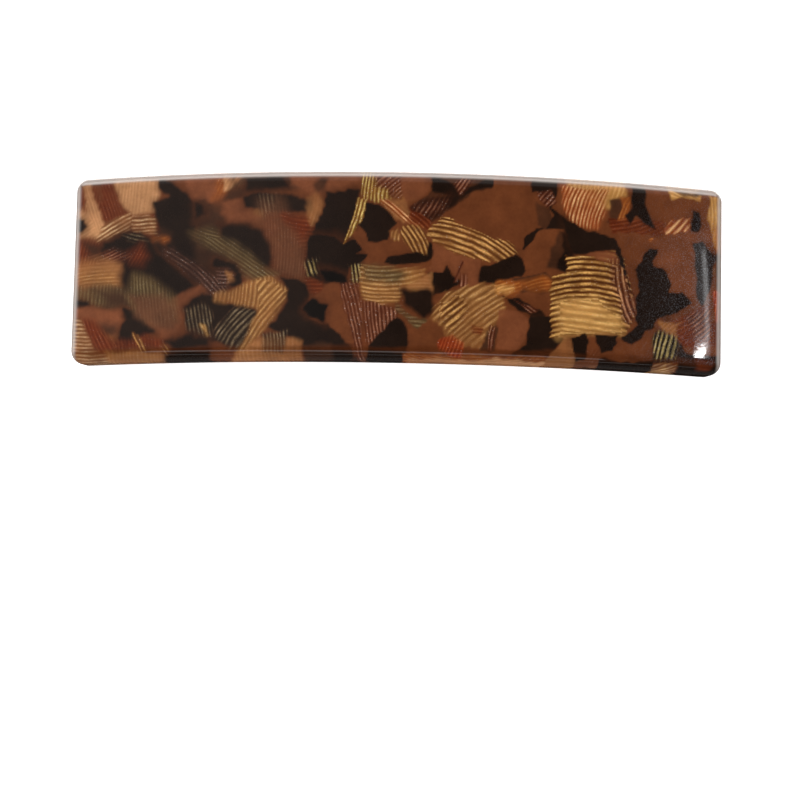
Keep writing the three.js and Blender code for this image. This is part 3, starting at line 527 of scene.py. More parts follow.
    ("flame", [(24.3, 12.2), (31.2, 12.2), (30.6, 8.2), (29.4, 6.3), (26.4, 6), (24.4, 8.4)],
     74, 0.5),
    ("umber", [(31.4, 10.8), (33.2, 10.9), (33.6, 9), (32.5, 7), (31, 7.4)], 0, 0.3),
    ("amber", [(32.8, 11.4), (35, 11.8), (34.2, 9), (33.5, 7.4), (32.7, 7.8), (33.2, 9.6)],
     68, 0.15),
    ("clay", [(36.4, 14.5), (41, 14.5), (44.2, 11), (44.4, 9), (38.5, 8.6), (37, 10.5)], 5, 0.2),
    ("honey", [(39.8, 14.5), (46.4, 14.5), (45.6, 11.7), (43, 12.1), (41, 11.4)], -20, 0.3),
    ("umber", [(41.8, 13), (46, 13), (45.2, 11.8), (43, 12)], -20, 0.5),
    ("rust", [(31.2, 8), (36, 8.4), (39.6, 8), (40, 6.4), (37, 5.8), (31.6, 5.4)], 20, 0.3),
    ("dark", [(34.3, 14.5), (36.4, 14.5), (37, 10.5), (38, 8), (38.6, 6.8), (36.6, 7.4),
     (35.5, 8.4), (34.5, 7), (33.8, 8.5), (35, 10)], 0, 0.2),
    ("rose", [(43.4, 7.1), (47.2, 7.5), (47.8, 5.6), (45.6, 5.3), (44, 5.7)], 30, 0.2),
    ("rose", [(38.4, 5.2), (41, 6.4), (44, 6), (45.5, 5), (44.8, 2.5), (45.2, -2), (43.4, -3),
     (41.5, -1.5), (41, -0.5), (40.3, 1), (38.4, 1.5), (39, 3.5)], 0, 0.15),
    ("flame", [(39.4, 6.4), (41, 8.2), (44, 8.9), (43.9, 7.3), (42.5, 6.6), (40.5, 6.2)],
     46, 0.06, 0.85),
    ("dark", [(44.2, 10.6), (45.6, 10), (46.2, 8), (45.6, 7), (44.3, 7.2)], 0, 0.2),
    ("clay", [(32.8, 5.9), (37.6, 5.9), (38, 4.5), (37, 2.5), (36.2, 0.8), (35, 1.2), (34, 2.4),
     (33.2, 3.6)], 0, 0.12),
    ("amber", [(37.3, 5.3), (38.3, 5.6), (37.8, 4.5)], 0, 0.15),
    ("brass", [(24.8, 2), (27, 2.4), (33, 3.2), (34.8, -2), (35.6, -4.5), (35.5, -6.2), (34.8, -8),
     (33.6, -9.2), (31, -9), (25.4, -10), (22.8, -10.1), (22.8, -1), (25, -0.5)], -4, 0.08, 0.84),
    ("butter", [(24, -4.4), (29.6, -3.8), (33.4, -6.4), (33.4, -9), (31, -9), (24, -9.8)],
     -4, 1.3, 0.84),
    ("rose", [(27.8, 2.5), (33, 3.2), (33.6, 1.6), (31, 1.4)], 0, 0.3),
    ("copper", [(31.2, 1.8), (33.4, 2.2), (35, -2.5), (35.6, -6), (34.4, -7.8), (32.8, -4.4)],
     104, 0.9, 0.7),
    ("dark", [(24.4, 7.6), (26, 6.8), (28, 6.2), (32, 5), (33, 3.6), (33.6, 2.4), (35, -2),
     (35.4, -3.6), (34.4, -2.6), (33, 2), (32.4, 3.5), (30, 3.2), (28, 2.3), (26.4, 2.3),
     (25.6, 3)], 0, 0.1),
    ("dark", [(36.2, 1.8), (37.6, 3.9), (39, 4), (38, 2), (38.2, 1.2), (40, 0.9), (41, -0.5),
     (40.6, -2.5), (42, -2.3), (43, -2), (44.6, -3.7), (43, -4.8), (41.5, -5.5), (39, -6.6),
     (38.4, -7.6), (37, -8.2), (36.5, -9.5), (35, -10.5), (33.4, -9.5), (35.7, -7.5), (35.6, -5),
     (36, -3), (35.8, -0.5), (35, 0.6)], 0, 0.12),
    ("dark", [(44.8, 5), (46, 5.4), (47, 4.4), (48, 3.4), (47.6, 0), (47, -3), (46, -4.2),
     (45, -3), (45.2, 0)], 0, 0.2),
    ("honey", [(47.3, 12.6), (50, 12.6), (50, 4), (48.4, 4.6), (47.6, 6), (47, 9)], 85, 0.3),
    ("amber", [(47.6, 8), (50, 8), (50, 3.6), (48.2, 4)], 85, 0.5),
    ("dark", [(48.4, 4), (50, 4), (50, -2), (48.4, -2.2)], 85, 0.3),
    ("ember", [(48, -1.8), (50, -1.8), (50, -7), (48.4, -6.8)], 85, 0.3),
    ("rust", [(47.8, -6.4), (50, -6.6), (50, -10), (48, -9.8)], 85, 0.4),
    ("rust", [(41.4, -6.2), (45, -4.4), (47.5, -3.2), (47.6, -9.4), (45, -10.4), (42, -9.8),
     (39.5, -7)], 30, 0.25),
    ("copper", [(43.4, -5.6), (47.4, -4.6), (47.4, -8.8), (44.6, -9.2)], 40, 0.9),
    ("tan", [(39.2, -6.8), (42.6, -6.6), (41.6, -9), (40.2, -8.8)], 45, 0.3),
    ("clay", [(30.6, -9.6), (35, -10.5), (37, -9.6), (38.3, -8.6), (38.6, -12.6), (36, -13),
     (30, -12.9)], 0, 0.2),
    ("dark", [(38, -9.4), (39, -8.4), (41, -8.9), (43, -10), (44, -12.4), (38.4, -12.8)], 0, 0.2),
    ("glint", [(38.3, -9.4), (39.2, -8.2), (42, -8.8), (42, -12.2), (38.4, -12.8)], 76, 0.5, 0.7),
    ("dark", [(26, -10.1), (28, -9.2), (28.4, -10.5), (28, -13), (26.8, -13.2), (26.2, -12)],
     0, 0.12),
    ("dark", [(29.2, -9.2), (30.5, -9.4), (32.8, -9.3), (32, -11.5), (30.5, -11.8), (29.5, -10.5)],
     0, 0.12),
    ("dark", [(30, -12.9), (38.4, -12.9), (38.4, -14.5), (30, -14.5)], 0, 0.15),
    ("dark", [(42.4, -10.8), (46.6, -11.4), (50, -10.6), (50, -14.5), (42.4, -14.5)], 0, 0.25),
    ("rust", [(45, -11.8), (48, -12), (47.6, -13.4), (45.4, -13.2)], 0, 0.5),
    ("pale", [(38.6, -13.1), (42.4, -13.1), (42.4, -14.5), (38.6, -14.5)], 24, 0.1),
]

LINE_PITCH = 0.56  # from one pressed line to the next
PITCH_SPREAD = 0.07
SKIN_HALF = 31.2  # the unrolled skin ends here, on the middle line of the back

# Random flakes are thrown over the skin up to here, and dropped where the list covers it.
THROW = 56
LISTED_HALF_LENGTH = 51
LISTED_HALF_WIDTH = 15

# Outlines that reach the front's limit run on to here: down the side wall, round the end.
FRONT_LIMIT = 14.4
WALL_RUN_ON = 18.4
END_RUN_ON = 54.4

# Flakes past this u, towards the hinge end, have fainter lines and softer edges.
HINGE_SIDE = -8
QUIET = 0.75
EXTRA_SOFTNESS_IF_FADING = 0.3
EXTRA_SOFTNESS = 0.15

# An outline wobbles by four sines: the highest rate of each, per mm, and its height in mm.
WOBBLE_RATES = np.array([[1.2], [2.4], [4.2], [6.5]])
WOBBLE_HEIGHTS = (0.16, 0.11, 0.07, 0.04)
TEETH = 0.12  # how far a flake's edge moves in and out with its strong lines, in mm
STRONG_LINES = 0.7
SHARPEST = 0.22  # the narrowest blend at an edge, in mm
EDGE_PER_SOFTNESS = 1.6
REACH_PAST_OUTLINE = 1.5  # a flake is painted this far past its outline at most
MOST_BEND = 0.035  # of the lines, per mm

# Dark flakes without lines sit in a reddish-brown stain, stronger towards the hinge end.
HALO_TONE = linear(72, 36, 18)
HALO_BELOW = linear(40, 40, 40)[0]
HALO_REACH = 0.5
HALO_BLUR = 1.7
HALO = 0.25
HALO_EXTRA = 0.45
HALO_SIDE = -4
HALO_HIDES_LINES = 0.6

# The flakes of the walls, the ends and the back, with the share of each kind.
RANDOM_COUNT = 620
RANDOM_SHARES = {
    "dark": 26, "clay": 14, "rose": 9, "umber": 8, "tan": 7, "cream": 4, "rust": 6, "gold": 6,
    "pearl": 5, "copper": 5, "steel": 3, "olive": 3, "amber": 3, "honey": 2, "pale": 3}
DEEP_COUNT = 150
DEEP_KINDS = ("umber", "rust", "tan", "rose", "dark", "honey", "copper")
DEEP_SOFTNESS = 0.8
DEEP_VEIL = (0.12, 0.4)

# A painted dark band of shade where the front turns into the lower round-over.
SHADE_FROM, SHADE_TO = -12.1, -12.9
SHADE_HALF = 54
SHADE_SOFTNESS = 0.4
SHADE_VEIL = 0.5


def random_flakes(rng):
    """Flakes for the side walls, the ends and the back, where the front's list ends."""
    names = list(RANDOM_SHARES)
    shares = np.array(list(RANDOM_SHARES.values()), float)
    shares /= shares.sum()
    flakes = []
    for _ in range(RANDOM_COUNT):
        u = rng.uniform(-THROW, THROW)
        v = rng.choice((-1, 1)) * rng.uniform(0, SKIN_HALF)
        listed = abs(u) < LISTED_HALF_LENGTH and abs(v) < LISTED_HALF_WIDTH
        size = rng.uniform(1.6, 4.6)
        corners = rng.integers(4, 8)
        turns = np.sort(rng.uniform(0, 2 * math.pi, corners))
        reach = size * rng.uniform(0.6, 1.1, corners)
        squeeze = rng.uniform(0.5, 1.0)
        lean = rng.uniform(0, math.pi)
        x = reach * np.cos(turns)
        y = reach * np.sin(turns) * squeeze
        outline = np.stack([u + x * math.cos(lean) - y * math.sin(lean),
                            v + x * math.sin(lean) + y * math.cos(lean)], 1)
        kind = names[rng.choice(len(names), p=shares)]
        direction = rng.uniform(0, 180)
        softness = rng.choice((0.1, 0.15, 0.3, 0.6))
        if not listed:
            flakes.append((kind, outline, direction, softness))
    return flakes


def deep_flakes(rng):
    """Faint flakes deep in the sheet, under the listed ones."""
    flakes = []
    for _ in range(DEEP_COUNT):
        centre = np.array((rng.uniform(-50, 50), rng.uniform(-15, 15)))
        turns = np.sort(rng.uniform(0, 2 * math.pi, 6))
        reach = rng.uniform(0.8, 2.6) * rng.uniform(0.6, 1.2, 6)
        outline = centre + np.stack([reach * np.cos(turns), reach * np.sin(turns)], 1)
        kind = DEEP_KINDS[rng.integers(len(DEEP_KINDS))]
        flakes.append((kind, outline, rng.uniform(0, 180), DEEP_SOFTNESS))
    return flakes


def edge_shade(rng):
    """A painted dark band of shade where the front turns into the lower round-over, where the
    sheet looks deep and dark.
    """
    outline = [(-SHADE_HALF, SHADE_FROM), (SHADE_HALF, SHADE_FROM),
               (SHADE_HALF, SHADE_TO), (-SHADE_HALF, SHADE_TO)]
    shade = Flake(rng, "painted_shade", outline, 0, SHADE_SOFTNESS)
    shade.veil = SHADE_VEIL
    return shade


def front_flakes():
    flakes = []
    for kind, outline, direction, softness, *pitch in FRONT_FLAKES:
        points = np.array(outline, float)
        over = np.abs(points[:, 1]) >= FRONT_LIMIT
        points[over, 1] = np.sign(points[over, 1]) * WALL_RUN_ON
        past = np.abs(points[:, 0]) >= HALF_LENGTH
        points[past, 0] = np.sign(points[past, 0]) * END_RUN_ON
        flakes.append((kind, points, direction, softness, *pitch))
    return flakes


def signed_distance(points, outline):
    """Distance from each point to a polygon, negative inside."""
    distance = np.full(len(points), np.inf)
    inside = np.zeros(len(points), bool)
    count = len(outline)
    for index in range(count):
        start, end = outline[index], outline[(index + 1) % count]
        edge = end - start
        offset = points - start
        share = np.clip(offset @ edge / (edge @ edge), 0, 1)
        gap = offset - share[:, None] * edge
        distance = np.minimum(distance, np.hypot(gap[:, 0], gap[:, 1]))
        crosses = (start[1] > points[:, 1]) != (end[1] > points[:, 1])
        rise = edge[1] if edge[1] else 1e-9
        meets = start[0] + (points[:, 1] - start[1]) * edge[0] / rise
        inside ^= crosses & (points[:, 0] < meets)
    return np.where(inside, -distance, distance)


class Flake:
    """One flake with its own edge wobble, tint and lines."""

    def __init__(self, rng, kind, outline, direction, softness, pitch=LINE_PITCH):
        finish = KINDS[kind]
        self.outline = np.asarray(outline)
        self.centre = self.outline.mean(0)
        hinge_side = self.centre[0] < HINGE_SIDE
        tint = rng.uniform(0.9, 1.1)
        self.tone = linear(*finish["tone"]) * tint
        self.ridge = linear(*finish["ridge"]) * tint
        self.ridges = finish["ridges"] * (QUIET if hinge_side else 1.0)
        self.glitter = finish["glitter"]
        self.fade = finish["fade"] * rng.uniform(0.4, 1.3)
        self.veil = 1.0
        self.halo = 0.0
        blur = EXTRA_SOFTNESS_IF_FADING if self.fade else EXTRA_SOFTNESS
        self.softness = softness + (blur if hinge_side else 0.0)
        turn = math.radians(direction)
        self.along = np.array((math.cos(turn), math.sin(turn)))
        self.across = np.array((-math.sin(turn), math.cos(turn)))
        self.pitch = pitch * rng.uniform(1 - PITCH_SPREAD, 1 + PITCH_SPREAD)
        side = rng.uniform(0, 2 * math.pi)
        self.lean = np.array((math.cos(side), math.sin(side)))
        self.reach = max(np.abs((self.outline - self.centre) @ self.lean).max(), 0.5)
        self.bend = rng.uniform(-MOST_BEND, MOST_BEND)
        self.crowd = rng.uniform(0.1, 0.3)
        self.waves = rng.uniform(-1, 1, (4, 2)) * WOBBLE_RATES
        self.shifts = rng.uniform(0, 2 * math.pi, 4)
        self.low = self.outline.min(0) - REACH_PAST_OUTLINE
        self.high = self.outline.max(0) + REACH_PAST_OUTLINE

    def near(self, points):
        return np.flatnonzero(((points > self.low) & (points < self.high)).all(1))

    def path(self, points):
        """Distance across the lines, in cycles, and along them, in mm."""
        offset = points - self.centre
        along = offset @ self.along
        across = offset @ self.across + self.bend * along * along
        return across / self.pitch + self.crowd * np.sin(1.1 * across + self.shifts[0]), along

    def cover(self, points, margin=0.0, blur=0.0):
        """How much of the flake lies over each point, 0 to 1."""
        sway = np.zeros(len(points))
        for wave, shift, height in zip(self.waves, self.shifts, WOBBLE_HEIGHTS):
            sway += height * np.sin(points @ wave + shift)
        distance = signed_distance(points, self.outline) + sway - margin
        if self.ridges >= STRONG_LINES:
            cycles, _ = self.path(points)
            distance += TEETH * np.cos(2 * math.pi * cycles)
        edge = max(EDGE_PER_SOFTNESS * self.softness, SHARPEST, blur)
        share = np.clip(0.5 - distance / edge, 0, 1)
        side = np.clip((points - self.centre) @ self.lean / self.reach, -1, 1)
        thin = 1 - self.fade * (0.5 + 0.5 * side)
        return share * share * (3 - 2 * share) * thin * self.veil


def stain(flake):
    if flake.ridges == 0 and flake.tone.max() < HALO_BELOW:
        return HALO + HALO_EXTRA * float(flake.centre[0] < HALO_SIDE)
    return 0.0


def paint(flakes, points, faces):
    """Lays the flakes over each other, deepest first, at mesh points and face centres."""
    centres = points[faces].mean(1)
    tone = np.tile(linear(*KINDS["clay"]["tone"]), (len(points), 1))
    ridge = tone.copy()
    strength = np.zeros(len(points))
    glitter = np.zeros(len(points))
    path = np.zeros(faces.shape + (2,))
    weight = np.zeros(len(faces))
    for flake in flakes:
        near = flake.near(points)
        if len(near) and flake.halo:
            glow = flake.halo * flake.cover(points[near], margin=HALO_REACH, blur=HALO_BLUR)
            tone[near] += glow[:, None] * (HALO_TONE - tone[near])
            strength[near] *= 1 - HALO_HIDES_LINES * glow
        if len(near):
            cover = flake.cover(points[near])
            tone[near] += cover[:, None] * (flake.tone - tone[near])
            strength[near] += cover * (flake.ridges - strength[near])
            glitter[near] += cover * (flake.glitter - glitter[near])
            if flake.ridges > 0:
                ridge[near] += cover[:, None] * (flake.ridge - ridge[near])
        near = flake.near(centres)
        if len(near):
            cover = flake.cover(centres[near])
            weight[near] *= 1 - cover
            wins = near[cover * flake.ridges > weight[near]]
            if len(wins):
                cycles, along = flake.path(points[faces[wins]].reshape(-1, 2))
                path[wins, :, 0] = cycles.reshape(-1, faces.shape[1])
                path[wins, :, 1] = along.reshape(-1, faces.shape[1])
                weight[wins] = (cover * flake.ridges)[np.isin(near, wins)]
    return tone, ridge, strength, glitter, path


# ---------------------------------------------------------------- the plate's mesh

LENGTH_STEPS = 480
WIDTH_STEPS = 134
WALL_STEPS = 6
ROUND_OVER = (52, 59, 67, 75, 83, 90)  # degrees, from the front grid's edge to the wall
BACK_ROUND = (30, 60)  # degrees, from the wall to the back
HALF_ROUND = math.radians(45)


def front_profile(inset):
    """Inset and height of the skin for a front grid point this far inside the outline.
    The front grid takes the first half of the quarter round."""
    turn = HALF_ROUND * np.clip(1 - inset / CORNER, 0, 1)
    rounded = CORNER * (1 - np.sin(turn))
    return np.where(inset < CORNER, rounded, inset), WALL_TOP + CORNER * np.cos(turn)


def wall_profile():
    """Rings from the round-over to the back: inset, height and reach on the skin."""
    rings = []
    start = CORNER * (math.sin(HALF_ROUND) - 1)
    for turn in map(math.radians, ROUND_OVER):
        reach = start + CORNER * (turn - HALF_ROUND)
        rings.append((CORNER * (1 - math.sin(turn)), WALL_TOP + CORNER * math.cos(turn), reach))
    wall_reach = rings[-1][2]
    for step in range(1, WALL_STEPS + 1):
        drop = (WALL_TOP - BACK_EDGE) * step / WALL_STEPS
        rings.append((0.0, WALL_TOP - drop, wall_reach + drop))
    back_reach = rings[-1][2]
    for turn in map(math.radians, BACK_ROUND):
        rings.append((BACK_EDGE * (1 - math.cos(turn)), BACK_EDGE * (1 - math.sin(turn)),
                      back_reach + BACK_EDGE * turn))
    return rings


def place_in_plan(along, across, inset_of):
    """Grid positions with their corners rounded. inset_of gives the new inset."""
    zone_x = np.abs(along) - (HALF_LENGTH - CORNER)
    zone_y = np.abs(across) - (HALF_WIDTH - CORNER)
    reach = np.maximum(zone_x, zone_y)
    new_reach = CORNER - inset_of(CORNER - reach)
    both = (zone_x > 0) & (zone_y > 0)
    length = np.hypot(np.where(both, zone_x, 1), np.where(both, zone_y, 0))
    scale = np.where(both, new_reach / length, 1)
    only_x = (zone_x > 0) & ~both
    only_y = (zone_y > 0) & ~both
    new_x = np.where(both, zone_x * scale, np.where(only_x, new_reach, zone_x))
    new_y = np.where(both, zone_y * scale, np.where(only_y, new_reach, zone_y))
    x = np.sign(along) * (HALF_LENGTH - CORNER + new_x)
    y = np.sign(across) * (HALF_WIDTH - CORNER + new_y)
    inside = reach <= 0
    return np.where(inside, along, x), np.where(inside, across, y), CORNER - reach


def ring_order(columns, rows):
    """Indices round the border of a grid of columns + 1 by rows + 1 points."""
    stride = rows + 1
    bottom = [column * stride for column in range(columns)]
    right = [columns * stride + row for row in range(rows)]
    top = [column * stride + rows for column in range(columns, 0, -1)]
    left = list(range(rows, 0, -1))
    return np.array(bottom + right + top + left)


def grid_faces(columns, rows, offset):
    stride = rows + 1
    column, row = np.meshgrid(np.arange(columns), np.arange(rows), indexing="ij")
    corner = offset + (column * stride + row).ravel()
    return np.stack([corner, corner + stride, corner + stride + 1, corner + 1], 1)


def grid_points(columns, rows):
    along, across = np.meshgrid(
        np.linspace(-HALF_LENGTH, HALF_LENGTH, columns + 1),
        np.linspace(-HALF_WIDTH, HALF_WIDTH, rows + 1), indexing="ij")
    return along.ravel(), across.ravel()


def bend(arc, across, height):
    """From the flat slab to the arched plate, in metres."""
    rho = FRONT_RADIUS - THICKNESS + height
    angle = arc / FRONT_RADIUS
    return np.stack([rho * np.sin(angle), across, ARCH_CENTRE + rho * np.cos(angle)], 1) * MM


def plate_skin():
    """Points, faces, and each point's place on the unrolled skin."""
    along, across = grid_points(LENGTH_STEPS, WIDTH_STEPS)
    x, y, inset = place_in_plan(along, across, lambda e: front_profile(e)[0])
    points = [bend(x, y, front_profile(inset)[1])]
    skin = [np.stack([x, y], 1)]
    faces = [grid_faces(LENGTH_STEPS, WIDTH_STEPS, 0)]
    border = ring_order(LENGTH_STEPS, WIDTH_STEPS)
    edge_x, edge_y, _ = place_in_plan(along[border], across[border], np.zeros_like)
    inner_x, inner_y, _ = place_in_plan(along[border], across[border], np.ones_like)
    outward = np.stack([edge_x - inner_x, edge_y - inner_y], 1)
    previous = border
    total = len(along)
    count = len(border)
    for ring_inset, height, reach in wall_profile():
        ring_x = edge_x - outward[:, 0] * ring_inset
        ring_y = edge_y - outward[:, 1] * ring_inset
        points.append(bend(ring_x, ring_y, np.full(count, height)))
        skin.append(np.stack([edge_x, edge_y], 1) + outward * reach)
        ring = total + np.arange(count)
        faces.append(np.stack([previous, ring, np.roll(ring, -1), np.roll(previous, -1)], 1))
        previous = ring
        total += count

    # The back is a grid half as fine, so each of its border steps meets two wall faces.
    columns, rows = LENGTH_STEPS // 2, WIDTH_STEPS // 2
    along, across = grid_points(columns, rows)
    x, y, _ = place_in_plan(
        along, across, lambda e: BACK_EDGE + e * (CORNER - BACK_EDGE) / CORNER)
    points.append(bend(x, y, np.zeros(len(x))))
    side = np.where(across < 0, -1.0, 1.0)
    skin.append(np.stack([x, side * (SKIN_HALF - np.abs(y))], 1))
    faces.append(grid_faces(columns, rows, total)[:, ::-1])
    back_ring = total + ring_order(columns, rows)
    bridge = []
    for index, corner in enumerate(back_ring):
        following = back_ring[(index + 1) % len(back_ring)]
        first, middle = previous[2 * index], previous[2 * index + 1]
        last = previous[(2 * index + 2) % count]
        bridge.append((first, corner, middle))
        bridge.append((middle, corner, following))
        bridge.append((middle, following, last))
    return np.concatenate(points), np.concatenate(faces), np.array(bridge), np.concatenate(skin)


def build_plate():
    rng = np.random.default_rng(SEED)
    points, quads, triangles, skin = plate_skin()
    deep = [Flake(rng, *flake) for flake in deep_flakes(rng)]
    for flake in deep:
        flake.veil = rng.uniform(*DEEP_VEIL)
    outer = [Flake(rng, *flake) for flake in random_flakes(rng) + front_flakes()]
    for flake in outer:
        flake.halo = stain(flake)
    flakes = deep + outer + [edge_shade(rng)]
    tone, ridge, strength, glitter, quad_path = paint(flakes, skin, quads)
    mesh = bpy.data.meshes.new("acetate_plate")
    mesh.from_pydata(points.tolist(), [], quads.tolist() + triangles.tolist())
    mesh.polygons.foreach_set("use_smooth", np.ones(len(mesh.polygons), bool))
    for name, colours in (("tone", tone), ("ridge", ridge)):
        layer = mesh.attributes.new(name, "FLOAT_COLOR", "POINT")
        rgba = np.concatenate([colours, np.ones((len(colours), 1))], 1)
        layer.data.foreach_set("color", rgba.astype(np.float32).ravel())
    for name, values in (("strength", strength), ("glitter", glitter)):
        layer = mesh.attributes.new(name, "FLOAT", "POINT")
        layer.data.foreach_set("value", values.astype(np.float32))
    path = np.zeros((len(mesh.loops), 3), np.float32)
    path[:quads.size, :2] = quad_path.reshape(-1, 2)
    layer = mesh.attributes.new("path", "FLOAT_VECTOR", "CORNER")
    layer.data.foreach_set("vector", path.ravel())
    plate = bpy.data.objects.new("acetate_plate", mesh)
    bpy.context.scene.collection.objects.link(plate)
    mesh.materials.append(acetate_material())
    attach(plate, "plate_and_bar")
    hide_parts("face_plate")


# ---------------------------------------------------------------- materials

SPARK_TINT = (1.0, 0.9, 0.8, 1.0)
# The scuffs' pale colour and strength make a painted sheen: scratches catching the light at the
# catch end.
SCUFF_SHEEN_COLOUR = (0.42, 0.45, 0.50, 1.0)
SCUFF_DIRECTIONS = (38, -52)  # degrees
SCUFF_SHEEN_STRENGTH = 0.34
# The pale colour of the painted rim light along the far edge and the ends.
RIM_LIGHT_COLOUR = (0.52, 0.445, 0.40, 1.0)
FOIL_METALLIC = 0.15


def pressed_lines(n, place, path, strength):
    """The lines of a flake: a wave across it, with slow drift and patches along it."""
    drift = n.noise(place, 0.4, 2.0)
    cycles = n.math("ADD", path.outputs["X"], n.product(drift, 0.6))
    wave = n.math("COSINE", n.product(cycles, 2 * math.pi))
    wave = n.math("MULTIPLY_ADD", wave, 0.5, 0.5)
    strands = n.add("ShaderNodeCombineXYZ", {
        0: n.product(path.outputs["X"], 2.3), 1: n.product(path.outputs["Y"], 0.35)})
    fibre = n.noise(strands.outputs[0], 1.0, 3.0, 0.6)
    crest = n.product(n.math("POWER", wave, 1.7), n.ramp(fibre, 0.36, 0.58, 0.35, 1.0))
    patch = n.ramp(n.noise(place, 0.5, 3.0), 0.38, 0.64, 0.3, 1.0)
    grain = n.ramp(n.noise(place, 4.6, 2.0), 0.32, 0.68, 0.55, 1.1)
    line = n.product(crest, patch, grain)
    line = n.math("MULTIPLY", line, n.product(strength, 1.5), clamp=True)
    return wave, fibre, crest, line


def body_shade(n, place, wave, fibre, strength):
    """The body colour is cloudy, and darker in the valleys between the lines."""
    cloud = n.ramp(n.noise(place, 0.3, 4.0, 0.6), 0.3, 0.7, 0.8, 1.2)
    mottle = n.ramp(n.noise(place, 2.2, 3.0, 0.6), 0.3, 0.7, 0.93, 1.07)
    valley = n.product(n.math("SUBTRACT", 1.0, wave), strength)
    valley = n.math("SUBTRACT", 1.0, n.product(valley, 0.42))
    streak = n.math("MULTIPLY_ADD", n.ramp(fibre, 0.3, 0.7, -0.3, 0.3), strength, 1.0)
    shade = n.product(cloud, mottle, valley, streak)
    return n.add("ShaderNodeCombineColor", {0: shade, 1: shade, 2: shade}).outputs[0]


def glitter_sparks(n, place, crest, glitter):
    """Small bright grains, most of them along the lines."""
    cells = n.add("ShaderNodeTexVoronoi", {"Vector": place, "Scale": 4.2}, feature="F1")
    dot = n.ramp(cells.outputs["Distance"], 0.15, 0.42, 1.0, 0.0)
    pick = n.add("ShaderNodeSeparateColor", {0: cells.outputs["Color"]}).outputs[0]
    spark = n.product(dot, n.ramp(pick, 0.72, 0.9), glitter)
    return n.math("MULTIPLY", spark, n.math("MULTIPLY_ADD", crest, 0.8, 0.2), clamp=True)


def scuffs_and_sheen(n, place, along, across, upward):
    """Specks and short scratches in two directions on the front at the catch end: real wear,
    painted pale and bluish as a painted sheen where they catch the light of the highlight there.
    """
    scuff = n.smooth(n.noise(place, 6.5, 1.0), 0.5, 0.72)
    for turn in SCUFF_DIRECTIONS:
        turned_place = n.add("ShaderNodeMapping", {
            "Vector": place, "Location": (turn, 0, 0),
            "Rotation": (0, 0, math.radians(turn))}).outputs[0]
        streaks = n.noise(n.stretch(turned_place, (0.5, 6.5, 1.0)), 1.0, 1.0)
        scuff = n.highest(scuff, n.smooth(streaks, 0.66, 0.8))
    lit_scuff_zone = n.math("POWER", n.ramp(along, 28, 47.5), 1.8, clamp=True)
    lit_scuff_zone = n.product(
        lit_scuff_zone, n.smooth(upward, 0.84, 0.93), n.smooth(across, 13, 2, 0.35, 1.0))
    return n.product(scuff, lit_scuff_zone, SCUFF_SHEEN_STRENGTH)


def painted_rim_light(n, normal):
    """Painted rim light: the colour turns pale on the far edge and the ends, palest where the skin
    turns away, standing in for light from behind that shows through the thin rim.
    """
    turned = n.add("ShaderNodeLayerWeight", {"Blend": 0.5}).outputs["Facing"]
    far_edge = n.smooth(normal.outputs["Y"], 0.2, 0.5)
    end_edge = n.smooth(n.math("ABSOLUTE", normal.outputs["X"]), 0.5, 0.8)
    return n.product(n.smooth(turned, 0.08, 0.34, 0.0, 0.76), n.highest(far_edge, end_edge))


def acetate_material():
    material = new_material("tortoiseshell_acetate")
    n = Nodes(material)
    place = n.object_mm()
    where = n.add("ShaderNodeSeparateXYZ", {0: place})
    along, across = where.outputs["X"], where.outputs["Y"]
    normal = n.add("ShaderNodeNewGeometry").outputs["Normal"]
    normal = n.add("ShaderNodeSeparateXYZ", {0: normal})
    ridge = n.attribute("ridge", "Color")
    strength = n.attribute("strength")
    path = n.add("ShaderNodeSeparateXYZ", {0: n.attribute("path", "Vector")})

    wave, fibre, crest, line = pressed_lines(n, place, path, strength)
    shade = body_shade(n, place, wave, fibre, strength)
    body = n.mix(1.0, n.attribute("tone", "Color"), shade, "MULTIPLY")
    colour = n.mix(line, body, ridge)
    spark = glitter_sparks(n, place, crest, n.attribute("glitter"))
    colour = n.mix(spark, colour, n.mix(0.55, ridge, SPARK_TINT))
    # Painted sheen on real scratches: pale specks where the catch-end highlight falls.
    scuff_sheen = scuffs_and_sheen(n, place, along, across, normal.outputs["Z"])
    colour = n.mix(scuff_sheen, colour, SCUFF_SHEEN_COLOUR)
    # Painted rim light: the colour turns pale on the far edge and the ends.
    colour = n.mix(painted_rim_light(n, normal), colour, RIM_LIGHT_COLOUR)

    # Polished skin over the flakes: a slow waviness, and faint scratches that grow
    # stronger towards the catch end.
    coat_bump = n.bump(n.noise(place, 0.12, 1.0), 0.06, 0.0003)
    scratch = n.noise(n.stretch(place, (1.3, 0.8, 1.0)), 3.0, 1.0)
    worn = n.smooth(along, 30, 44, 0.01, 0.02)
    fine_bump = n.bump(scratch, worn, 0.00004, Normal=coat_bump)

    metallic = n.product(n.highest(line, spark), FOIL_METALLIC)
    shader = n.add("ShaderNodeBsdfPrincipled", {
        "Base Color": colour, "Roughness": n.ramp(spark, 0.0, 1.0, 0.42, 0.22),
        "Metallic": metallic, "Normal": n.bump(line, 0.5, 0.00008), "Coat Normal": fine_bump})
    shader.inputs["Specular IOR Level"].default_value = 0.06
    shader.inputs["Coat Weight"].default_value = 1.0
    shader.inputs["Coat Roughness"].default_value = 0.035
    shader.inputs["Coat IOR"].default_value = 1.48
    n.finish(shader.outputs[0])
    return material


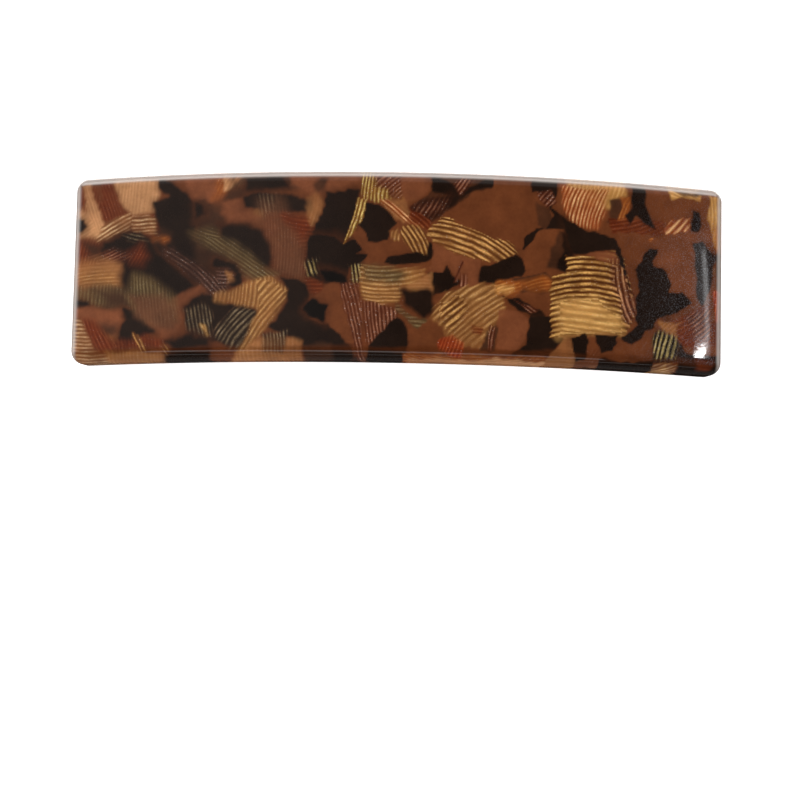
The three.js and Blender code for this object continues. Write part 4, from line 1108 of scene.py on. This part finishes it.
def steel_material(name, colour, roughness, grain):
    """Satin nickel plate, brushed lengthwise and a little stained."""
    material = new_material(name)
    n = Nodes(material)
    place = n.object_mm()
    brushed = n.noise(n.stretch(place, (0.35, 7.0, 7.0)), 2.0, 4.0, 0.65)
    stained = n.noise(place, 0.35, 3.0, 0.6)
    fine = n.noise(place, 9.0, 2.0)
    base = tuple(linear(*colour)) + (1.0,)
    dull = tuple(linear(*colour) * 0.72) + (1.0,)
    tint = n.mix(n.ramp(stained, 0.4, 0.72), base, dull)
    tint = n.mix(n.ramp(brushed, 0.45, 0.8, 0.0, 0.35), tint, dull)
    rough = n.math("ADD", n.ramp(stained, 0.3, 0.7, -0.05, 0.07),
                   n.ramp(brushed, 0.3, 0.7, roughness - 0.04, roughness + 0.08))
    height = n.math("ADD", brushed, n.product(fine, 0.4))
    shader = n.add("ShaderNodeBsdfPrincipled", {
        "Base Color": tint, "Roughness": rough, "Normal": n.bump(height, grain, 0.00003)})
    shader.inputs["Metallic"].default_value = 1.0
    n.finish(shader.outputs[0])
    return material


PLATED_COLOUR = (205, 204, 200)
SPRING_COLOUR = (176, 178, 182)
SPRINGY = ("tension_spring", "catch_web", "catch_leg_left", "catch_leg_right")
STAMPED_EDGE = 0.00012


def finish_clip():
    plated = steel_material("nickel_plated_steel", PLATED_COLOUR, 0.24, 0.25)
    spring = steel_material("spring_steel", SPRING_COLOUR, 0.3, 0.35)
    for name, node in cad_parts.items():
        if name == "face_plate":
            continue
        node.data.materials.clear()
        node.data.materials.append(spring if name in SPRINGY else plated)
        bevel = node.modifiers.new("edges", "BEVEL")
        bevel.width = STAMPED_EDGE
        bevel.segments = 2
        bevel.limit_method = "ANGLE"
        bevel.angle_limit = math.radians(40)
        bevel.harden_normals = False


FLOOR_HALF = 3.0
FLOOR_GLOW = 0.9


def floor_material():
    material = new_material("pale_floor")
    n = Nodes(material)
    speck = n.noise(n.object_mm(), 0.02, 2.0)
    tint = n.mix(speck, (0.90, 0.90, 0.90, 1), (0.93, 0.93, 0.93, 1))
    shader = n.add("ShaderNodeBsdfPrincipled", {"Base Color": tint, "Roughness": 0.7})
    shader.inputs["Emission Color"].default_value = (1, 1, 1, 1)
    shader.inputs["Emission Strength"].default_value = FLOOR_GLOW
    n.finish(shader.outputs[0])
    return material


def add_floor():
    mesh = bpy.data.meshes.new("floor")
    half = FLOOR_HALF
    corners = [(-half, -half, 0), (half, -half, 0), (half, half, 0), (-half, half, 0)]
    mesh.from_pydata(corners, [], [(0, 1, 2, 3)])
    mesh.materials.append(floor_material())
    floor = bpy.data.objects.new("floor", mesh)
    floor.visible_glossy = False
    bpy.context.scene.collection.objects.link(floor)


add_camera()
add_lights()
add_floor()
build_plate()
finish_clip()
